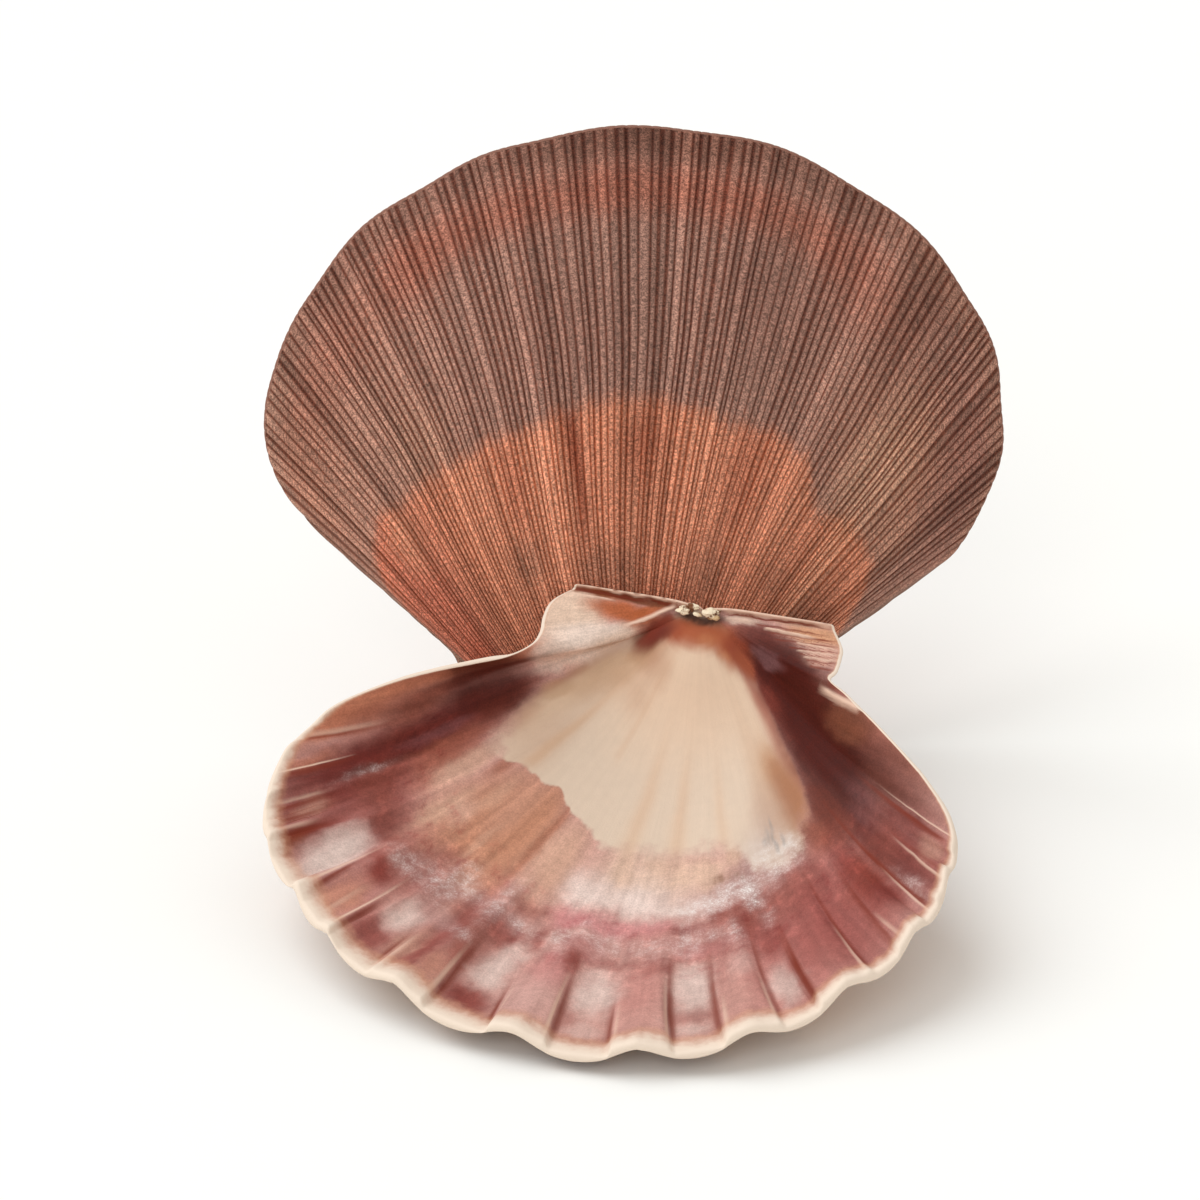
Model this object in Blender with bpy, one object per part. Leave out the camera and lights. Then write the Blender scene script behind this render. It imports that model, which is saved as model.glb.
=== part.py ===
"""Pair of scallop valves: one lies hollow side up, the other stands on its hinge edge behind it.

Each valve has its own flat working frame: the beak is the origin, x runs along the hinge line,
y runs to the far margin and z points out of the domed side. Lengths in that frame are millimetres.
"""
import bpy
import numpy as np
from mathutils import Matrix, Vector

# ---- lying valve: margin as (x, y) round the ears and (angle, distance from the beak) on the fan
LYING_TURN = -17.2        # degrees about the vertical
LYING_ROLL = 1.7
LYING_TILT = 18.7         # far margin tipped down
LYING_PLACE = (17.2, 10.0, 36.0)
LYING_GROWTH = 0.515      # how fast the dome curls over towards the beak
LYING_EAR_LEFT = [(-22.5, 0.0), (-25.3, 3.8), (-25.6, 7.6), (-25.0, 11.4), (-25.6, 14.8)]
LYING_FLANK_LEFT = [(-28.8, 18.6), (-33.9, 21.6), (-39.7, 24.8), (-45.8, 28.9), (-51.2, 34.2)]
LYING_FAN = [(-53.4, 68.8), (-50.0, 74.8), (-45.0, 80.4), (-39.0, 85.2), (-32.0, 88.2), (-24.0, 91.8),
             (-16.0, 94.3), (-8.0, 96.4), (0.0, 97.5), (7.0, 97.9), (14.0, 96.5), (20.0, 94.6), (26.0, 91.3),
             (33.0, 86.5), (39.0, 81.9), (45.0, 76.1), (50.0, 69.9), (53.0, 64.8)]
LYING_FLANK_RIGHT = [(46.2, 31.4), (42.2, 27.2), (37.9, 23.1), (33.6, 19.2), (28.8, 15.1)]
LYING_EAR_RIGHT = [(24.9, 12.0), (25.4, 9.6), (25.3, 6.4), (24.8, 4.0), (22.4, 0.0)]
LYING_GROOVES = [-55.0, -50.5, -44.5, -36.5, -28.0, -16.0, -3.0, 9.5, 19.5, 30.0, 39.5, 47.0, 53.5]
LYING_WAVES = (0.5, 1.2)  # rib height at the margin, along the valve and out of the dome
LYING_RIB = (0.17, [0.0, 0.14, 0.38, 0.62, 0.86])     # groove width and columns, as shares of a rib

# ---- standing valve
STANDING_TURN = 3.0
STANDING_LEAN = 17.5      # leans back from upright
STANDING_PLACE = (3.5, 28.4, -0.4)
STANDING_GROWTH = 0.52
STANDING_EAR_LEFT = [(-26.0, 0.0), (-28.0, 3.4), (-28.2, 7.4), (-27.4, 11.0), (-27.2, 14.8)]
STANDING_FLANK_LEFT = [(-28.9, 19.2), (-33.6, 24.4), (-39.8, 30.6), (-46.4, 36.9), (-52.8, 43.4)]
STANDING_FAN = [(-49.0, 76.2), (-45.0, 84.2), (-40.0, 89.0), (-33.0, 95.0), (-25.0, 100.1), (-17.0, 103.1),
                (-9.0, 105.4), (-1.0, 106.6), (7.0, 107.2), (15.0, 106.7), (23.0, 104.8), (31.0, 102.0),
                (38.0, 98.2), (44.0, 93.4), (49.0, 87.5), (53.0, 82.0), (56.4, 75.4)]
STANDING_FLANK_RIGHT = [(58.4, 34.6), (52.0, 29.7), (44.9, 24.6), (37.8, 19.9), (32.0, 16.6)]
STANDING_EAR_RIGHT = [(28.6, 13.4), (28.3, 9.8), (28.8, 6.6), (28.2, 3.2), (26.2, 0.0)]
STANDING_GROOVES = [-50.0, -45.0, -31.5, -18.0, -6.5, 8.0, 23.0, 37.5, 48.0, 55.5]
STANDING_WAVES = (0.5, 0.6)
STANDING_RIB = (0.3, [0.0, 0.14, 0.32, 0.5, 0.68, 0.86])

# ---- both valves
GROWTH_LINES = [0.06, 0.09, 0.13, 0.18, 0.24, 0.31, 0.385, 0.465, 0.55, 0.635, 0.72, 0.80, 0.875, 0.94, 1.0]
EAR_COLUMNS = 6
FLANK_COLUMNS = 6
WALL_BEAK = 2.4
WALL_MARGIN = 1.5
HINGE_FILL = 0.16         # share of the valve over which the inside rises to the hinge plate
PIT_DEPTH = 1.4           # ligament pit in the middle of the hinge line

# ---- dried ligament in the pit of the lying valve
LIGAMENT_SIZE = (3.5, 1.4, 0.85)
LIGAMENT_CENTRE = (0.2, 1.9, -0.45)


def ease(low, high, value):
    t = np.clip((value - low) / (high - low), 0.0, 1.0)
    return t * t * (3.0 - 2.0 * t)


def rounded_line(points, steps=24):
    """Smooth line through the points as a dense row of points."""
    p = np.array(points, float)
    p = np.vstack([2 * p[0] - p[1], p, 2 * p[-1] - p[-2]])
    t = (np.arange(steps) / steps)[:, None]
    rows = []
    for a, b, c, d in zip(p[:-3], p[1:-2], p[2:-1], p[3:]):
        rows.append(b + 0.5 * (t * (c - a) + t ** 2 * (2 * a - 5 * b + 4 * c - d)
                               + t ** 3 * (3 * b - a - 3 * c + d)))
    return np.vstack(rows + [p[-2:-1]])


def margin(ear_left, flank_left, fan, flank_right, ear_right, grooves, rib_shape):
    """Points round the free margin, hinge end to hinge end, with rib height from -1 to 1."""
    bend = np.radians([angle for angle, _ in fan])
    reach = np.array([distance for _, distance in fan])
    disc = list(zip(reach * np.sin(bend), reach * np.cos(bend)))
    line = rounded_line(ear_left + flank_left + disc + flank_right + ear_right)
    run = np.concatenate([[0.0], np.cumsum(np.linalg.norm(np.diff(line, axis=0), axis=1))])
    angle = np.degrees(np.arctan2(line[:, 0], line[:, 1]))
    groove = np.interp(grooves, angle, run)
    notch_left = run[np.argmin(np.linalg.norm(line - ear_left[-1], axis=1))]
    notch_right = run[np.argmin(np.linalg.norm(line - ear_right[0], axis=1))]
    at = list(np.linspace(0.0, notch_left, EAR_COLUMNS, endpoint=False))
    at += list(np.linspace(notch_left, groove[0], FLANK_COLUMNS, endpoint=False))
    groove_width, shares = rib_shape
    for near, far in zip(groove[:-1], groove[1:]):
        at += [near + share * (far - near) for share in shares]
    at += list(np.linspace(groove[-1], notch_right, FLANK_COLUMNS, endpoint=False))
    at += list(np.linspace(notch_right, run[-1], EAR_COLUMNS + 1))
    at = np.array(at)
    rib = np.clip(np.searchsorted(groove, at, side="right") - 1, 0, len(groove) - 2)
    phase = (at - groove[rib]) / (groove[rib + 1] - groove[rib])
    to_groove = np.minimum(np.abs(phase), np.abs(1.0 - phase))
    wave = 1.0 - 2.0 * np.exp(-(to_groove / groove_width) ** 2)
    beyond = (at < groove[0]) | (at > groove[-1])
    wave[beyond] = -np.exp(-(to_groove[beyond] / 0.5) ** 2)
    span = (groove[rib + 1] - groove[rib]) / 20.0
    wave *= np.clip(span, 0.35, 1.0)
    return np.interp(at, run, line[:, 0]), np.interp(at, run, line[:, 1]), wave


def growth_surface(x, y, wave, waves, size, curl, strength):
    """Growth lines shrinking to the beak while they turn out of the hinge plane."""
    reach = np.hypot(x, y)
    stretch = 1.0 + waves[0] * wave * strength / np.maximum(reach, 1.0)
    rib = waves[1] * wave * strength
    sine = np.sin(curl)
    cosine = np.cos(curl)
    return np.stack([size * x * stretch,
                     size * (y * stretch * cosine - rib * sine),
                     size * (y * stretch * sine + rib * cosine)], axis=-1)


def outward(surface):
    """Unit normals of a grid of points, softened along the growth lines, kept off the hinge edge."""
    normal = np.cross(np.gradient(surface, axis=0), np.gradient(surface, axis=1))
    normal /= np.linalg.norm(normal, axis=2, keepdims=True) + 1e-9
    normal *= np.sign(np.median(normal[-4:, :, 2]))
    for _ in range(2):
        side = np.concatenate([normal[:, :1], normal, normal[:, -1:]], axis=1)
        normal = side[:, :-2] + side[:, 1:-1] + side[:, 2:]
        normal /= np.linalg.norm(normal, axis=2, keepdims=True) + 1e-9
    normal[:, 0] = (0.0, 0.0, 1.0)
    normal[:, -1] = (0.0, 0.0, 1.0)
    return normal


def valve_sheets(outline, growth, waves):
    """Outer and inner sheet of a valve as two grids of points."""
    x, y, wave = margin(*outline)
    size = np.array(GROWTH_LINES)[:, None]
    curl = growth * np.log(1.0 / size)
    plain = growth_surface(x, y, wave, (0.0, 0.0), size, curl, 1.0)
    ribbed = growth_surface(x, y, wave, waves, size, curl, 1.0)
    wall = WALL_MARGIN + (WALL_BEAK - WALL_MARGIN) * (1.0 - size[:, :, None]) ** 0.7
    outer = ribbed + wall * outward(plain)
    outer[:, :, 1] = np.maximum(outer[:, :, 1], 0.0)
    small = (size - GROWTH_LINES[0]) / (1.0 - GROWTH_LINES[0]) * 0.995 + 0.005
    curl = growth * np.log(1.0 / small) * (1.0 - np.exp(-(small / HINGE_FILL) ** 1.5))
    inner = growth_surface(x, y, wave, waves, small, curl, ease(0.35, 0.95, small))
    inner[:, :, 2] += PIT_DEPTH * np.exp(-(inner[:, :, 0] / 3.4) ** 2 - ((inner[:, :, 1] - 1.6) / 2.2) ** 2)
    return outer, inner


def closed_faces(rows, columns):
    """Faces of two grids joined along all four sides."""
    def outer(i, j):
        return i * columns + j

    def inner(i, j):
        return (rows + i) * columns + j

    faces = []
    for i in range(rows - 1):
        for j in range(columns - 1):
            faces.append((outer(i, j), outer(i, j + 1), outer(i + 1, j + 1), outer(i + 1, j)))
            faces.append((inner(i, j), inner(i + 1, j), inner(i + 1, j + 1), inner(i, j + 1)))
    last = rows - 1
    for j in range(columns - 1):
        faces.append((outer(last, j), outer(last, j + 1), inner(last, j + 1), inner(last, j)))
        faces.append((outer(0, j + 1), outer(0, j), inner(0, j), inner(0, j + 1)))
    side = columns - 1
    for i in range(rows - 1):
        faces.append((outer(i, 0), outer(i + 1, 0), inner(i + 1, 0), inner(i, 0)))
        faces.append((outer(i + 1, side), outer(i, side), inner(i, side), inner(i + 1, side)))
    return faces


def add_object(name, points, faces, colour, roughness):
    mesh = bpy.data.meshes.new(name)
    mesh.from_pydata([Vector(p) * 0.001 for p in points], [], faces)
    mesh.shade_smooth()
    mesh.set_sharp_from_angle(angle=0.8)
    material = bpy.data.materials.new(name)
    material.use_nodes = True
    shader = material.node_tree.nodes["Principled BSDF"]
    shader.inputs["Base Color"].default_value = (*colour, 1.0)
    shader.inputs["Roughness"].default_value = roughness
    shader.inputs["Metallic"].default_value = 0.0
    mesh.materials.append(material)
    bpy.context.collection.objects.link(bpy.data.objects.new(name, mesh))


def turned(axis, degrees):
    return np.array(Matrix.Rotation(np.radians(degrees), 3, axis))


def placed(points, axes, place):
    """Working frame to the floor frame; whatever would sink into the floor is worn flat."""
    out = points.reshape(-1, 3) @ axes.T + np.array(place)
    out[:, 2] = np.maximum(out[:, 2], 0.0)
    return out


def ligament_points():
    """Flaky crumb: a squashed ball with uneven sides."""
    chance = np.random.default_rng(5)
    points = []
    faces = []
    around, up = 14, 7
    for i in range(1, up):
        for j in range(around):
            lump = 1.0 + 0.16 * chance.uniform(-1.0, 1.0)
            rise = np.pi * i / up
            turn = 2.0 * np.pi * j / around
            points.append((lump * np.sin(rise) * np.cos(turn), lump * np.sin(rise) * np.sin(turn),
                           lump * np.cos(rise)))
    for i in range(up - 2):
        for j in range(around):
            a, b = i * around + j, i * around + (j + 1) % around
            faces.append((a, a + around, b + around, b))
    top, bottom = len(points), len(points) + 1
    points += [(0.0, 0.0, 1.0), (0.0, 0.0, -1.0)]
    for j in range(around):
        faces.append((top, j, (j + 1) % around))
        faces.append((bottom, (up - 2) * around + (j + 1) % around, (up - 2) * around + j))
    return np.array(points) * LIGAMENT_SIZE + LIGAMENT_CENTRE, faces


for old in list(bpy.data.objects):
    bpy.data.objects.remove(old)

lying_axes = turned("Z", LYING_TURN) @ turned("Y", LYING_ROLL) @ turned("X", LYING_TILT + 180.0)
standing_axes = turned("Z", STANDING_TURN) @ turned("X", 90.0 - STANDING_LEAN)
lying_outline = (LYING_EAR_LEFT, LYING_FLANK_LEFT, LYING_FAN, LYING_FLANK_RIGHT, LYING_EAR_RIGHT,
                 LYING_GROOVES, LYING_RIB)
standing_outline = (STANDING_EAR_LEFT, STANDING_FLANK_LEFT, STANDING_FAN, STANDING_FLANK_RIGHT,
                    STANDING_EAR_RIGHT, STANDING_GROOVES, STANDING_RIB)

lying_sheets = np.array(valve_sheets(lying_outline, LYING_GROWTH, LYING_WAVES))
standing_sheets = np.array(valve_sheets(standing_outline, STANDING_GROWTH, STANDING_WAVES))
crumb, crumb_faces = ligament_points()
parts = {
    "lying_valve": placed(lying_sheets, lying_axes, LYING_PLACE),
    "standing_valve": placed(standing_sheets, standing_axes, STANDING_PLACE),
    "ligament": placed(crumb, lying_axes, LYING_PLACE),
}
every = np.vstack(list(parts.values()))
middle = (every.min(axis=0) + every.max(axis=0)) / 2.0
for points in parts.values():
    points[:, :2] -= middle[:2]

add_object("lying_valve", parts["lying_valve"], closed_faces(*lying_sheets.shape[1:3]), (0.66, 0.46, 0.38), 0.5)
add_object("standing_valve", parts["standing_valve"], closed_faces(*standing_sheets.shape[1:3]),
           (0.36, 0.19, 0.15), 0.75)
add_object("ligament", parts["ligament"], crumb_faces, (0.72, 0.56, 0.34), 0.8)
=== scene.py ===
"""Looks of the scallop pair: a lying valve seen from inside and a standing valve seen from outside.

Each valve is one fine mesh grown by the same rule as its CAD solid. Its flat working frame has the beak
at the origin, x along the hinge line, y to the far margin and z out of the domed side, in millimetres.
A place on a valve is named by its fan angle in degrees and its growth, 0 at the beak and 1 at the margin;
the tables of colours give growth and strength in percent.
"""
import bpy
import numpy as np
from mathutils import Matrix, Vector


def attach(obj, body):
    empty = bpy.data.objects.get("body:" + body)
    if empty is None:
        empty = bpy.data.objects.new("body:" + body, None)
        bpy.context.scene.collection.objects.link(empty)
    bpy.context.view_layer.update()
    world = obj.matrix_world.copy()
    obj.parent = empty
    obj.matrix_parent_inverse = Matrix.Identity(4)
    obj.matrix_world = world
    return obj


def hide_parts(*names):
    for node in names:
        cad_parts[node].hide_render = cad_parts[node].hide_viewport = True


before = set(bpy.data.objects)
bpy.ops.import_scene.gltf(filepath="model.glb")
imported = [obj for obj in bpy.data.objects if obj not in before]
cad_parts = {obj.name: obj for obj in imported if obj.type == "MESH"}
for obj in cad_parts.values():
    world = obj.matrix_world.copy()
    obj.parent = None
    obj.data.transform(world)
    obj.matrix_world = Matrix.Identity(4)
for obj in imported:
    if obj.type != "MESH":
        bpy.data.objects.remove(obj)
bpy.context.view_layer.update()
MM = 0.001
MIDDLE = (6.07, -10.15)    # of the pair on the floor, millimetres

# ---- the two valves, as in the CAD: margin as (x, y) round the ears and (angle, distance) on the fan;
# growth is the turn of the spiral, waves how far the broad ribs reach out along the valve and out of it,
# riblets (first angle, last angle, count), riblets_end the growth at which they fade out, and sweep the
# degrees that the ribs still turn on their way to the margin, on the left and on the right
LYING = {
    "turn": -17.2, "roll": 1.7, "tilt": 198.7, "place": (17.2, 10, 36), "growth": 0.515,
    "groove_width": 0.25, "waves": (0.5, 1.2), "riblets": (-55.5, 54, 100), "sweep": (9, 5),
    "riblets_end": 0.9,
    "ear_left": [(-22.5, 0), (-25.3, 3.8), (-25.6, 7.6), (-25, 11.4), (-25.6, 14.8)],
    "flank_left": [(-28.8, 18.6), (-33.9, 21.6), (-39.7, 24.8), (-45.8, 28.9), (-51.2, 34.2)],
    "fan": [(-53.4, 68.8), (-50, 74.8), (-45, 80.4), (-39, 85.2), (-32, 88.2), (-24, 91.8), (-16, 94.3),
            (-8, 96.4), (0, 97.5), (7, 97.9), (14, 96.5), (20, 94.6), (26, 91.3), (33, 86.5), (39, 81.9),
            (45, 76.1), (50, 69.9), (53, 64.8)],
    "flank_right": [(46.2, 31.4), (42.2, 27.2), (37.9, 23.1), (33.6, 19.2), (28.8, 15.1)],
    "ear_right": [(24.9, 12), (25.4, 9.6), (25.3, 6.4), (24.8, 4), (22.4, 0)],
    "grooves": [-55, -50.5, -44.5, -38.5, -30.7, -24.2, -14.8, -1.8, 10, 20.2, 30.4, 39.7, 47, 53.5],
}
STANDING = {
    "turn": 3, "roll": 0, "tilt": 72.5, "place": (3.5, 28.4, -0.4), "growth": 0.52, "groove_width": 0.3,
    "waves": (0.3, 0.3), "riblets": (-50.5, 59, 118), "sweep": (0, 0), "riblets_end": 1.1,
    "ear_left": [(-26, 0), (-28, 3.4), (-28.2, 7.4), (-27.4, 11), (-27.2, 14.8)],
    "flank_left": [(-28.9, 19.2), (-33.6, 24.4), (-39.8, 30.6), (-46.4, 36.9), (-52.8, 43.4)],
    "fan": [(-49, 76.2), (-45, 84.2), (-40, 89), (-33, 95), (-25, 100.2), (-17, 103.3), (-9, 105.7),
            (-1, 107), (7, 107.5), (15, 107), (23, 105.1), (31, 102.2), (38, 98.2), (44, 93.4), (49, 87.5),
            (53, 82), (56.4, 75.4)],
    "flank_right": [(58.4, 34.6), (52, 29.7), (44.9, 24.6), (37.8, 19.9), (32, 16.6)],
    "ear_right": [(28.6, 13.4), (28.3, 9.8), (28.8, 6.6), (28.2, 3.2), (26.2, 0)],
    "grooves": [-50, -45, -31.5, -18, -6.5, 8, 23, 37.5, 48, 55.5],
}
# flat channels inside the lying valve near the margin: (left angle, right angle, depth)
LYING_CHANNELS = [
    (-44, -41, 0.45), (-38.5, -31.5, 0.9), (-23.8, -17.7, 0.9), (-11, -4.1, 1), (1.7, 7.4, 1),
    (13, 17.9, 1), (23.4, 27.4, 1), (33.6, 37, 0.8), (41.5, 44, 0.6), (48, 50, 0.5)]

# ---- colours of the lying valve's inside, laid over each other: pigments, painted highlights and painted shade
ROSE = "c2948a"
CREAM = "d8c3ae"
WARM_CREAM = "e2c6ac"
TAN_STREAK = "d0a27c"
CLOUD = "e6dfda"
RIM_CREAM = "ead8c6"
LIP_TAN = "cf9c7c"
# the channels' own dark lines; on the hinge plate, painted shade in the grooves and under the ridges
DARK_LINE = "782c1a"
# painted highlight on the lying valve's ridges and hinge plate; pale streaks on the standing valve's hidden
# inside
LIGHT_LINE = "e9c8b2"
# outer edge of the cream heart as (fan angle, growth), how far it blends out, and width of the pale lip
HEART_EDGE = [
    (-60, 16), (-52, 27), (-49, 34), (-46, 41), (-42, 47.5), (-38, 50), (-34.5, 49), (-31, 46.8), (-25, 45),
    (-22, 43.6), (-19.5, 42), (-17.5, 42.4), (-14, 43.6), (-10, 44.3), (-6.5, 45.5), (-5, 46.4), (1, 46.3),
    (5, 45.5), (12, 44.8), (20, 44.5), (25, 47), (27, 53), (31, 56), (36, 55), (37.5, 52), (41, 50),
    (42.4, 45), (43.5, 39), (45, 33), (47, 27), (49.5, 20), (53, 14), (58, 10)]
HEART_BLEND = [
    (-46, 6), (-38, 5), (-35, 2), (-34, 0.6), (-14, 0.4), (-5, 0.8), (3, 2.5), (30, 3), (42, 4), (48, 3)]
LIP_WIDTH = [
    (-75, 1.4), (-58, 1.2), (-50, 1.6), (-44, 1.8), (-37, 2), (-30, 2.6), (-24, 2.2), (-16, 2.9),
    (-10, 2.5), (0, 2.6), (20, 2.8), (35, 1.9), (46, 1.5), (56, 0.8), (75, 1.4)]

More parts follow.
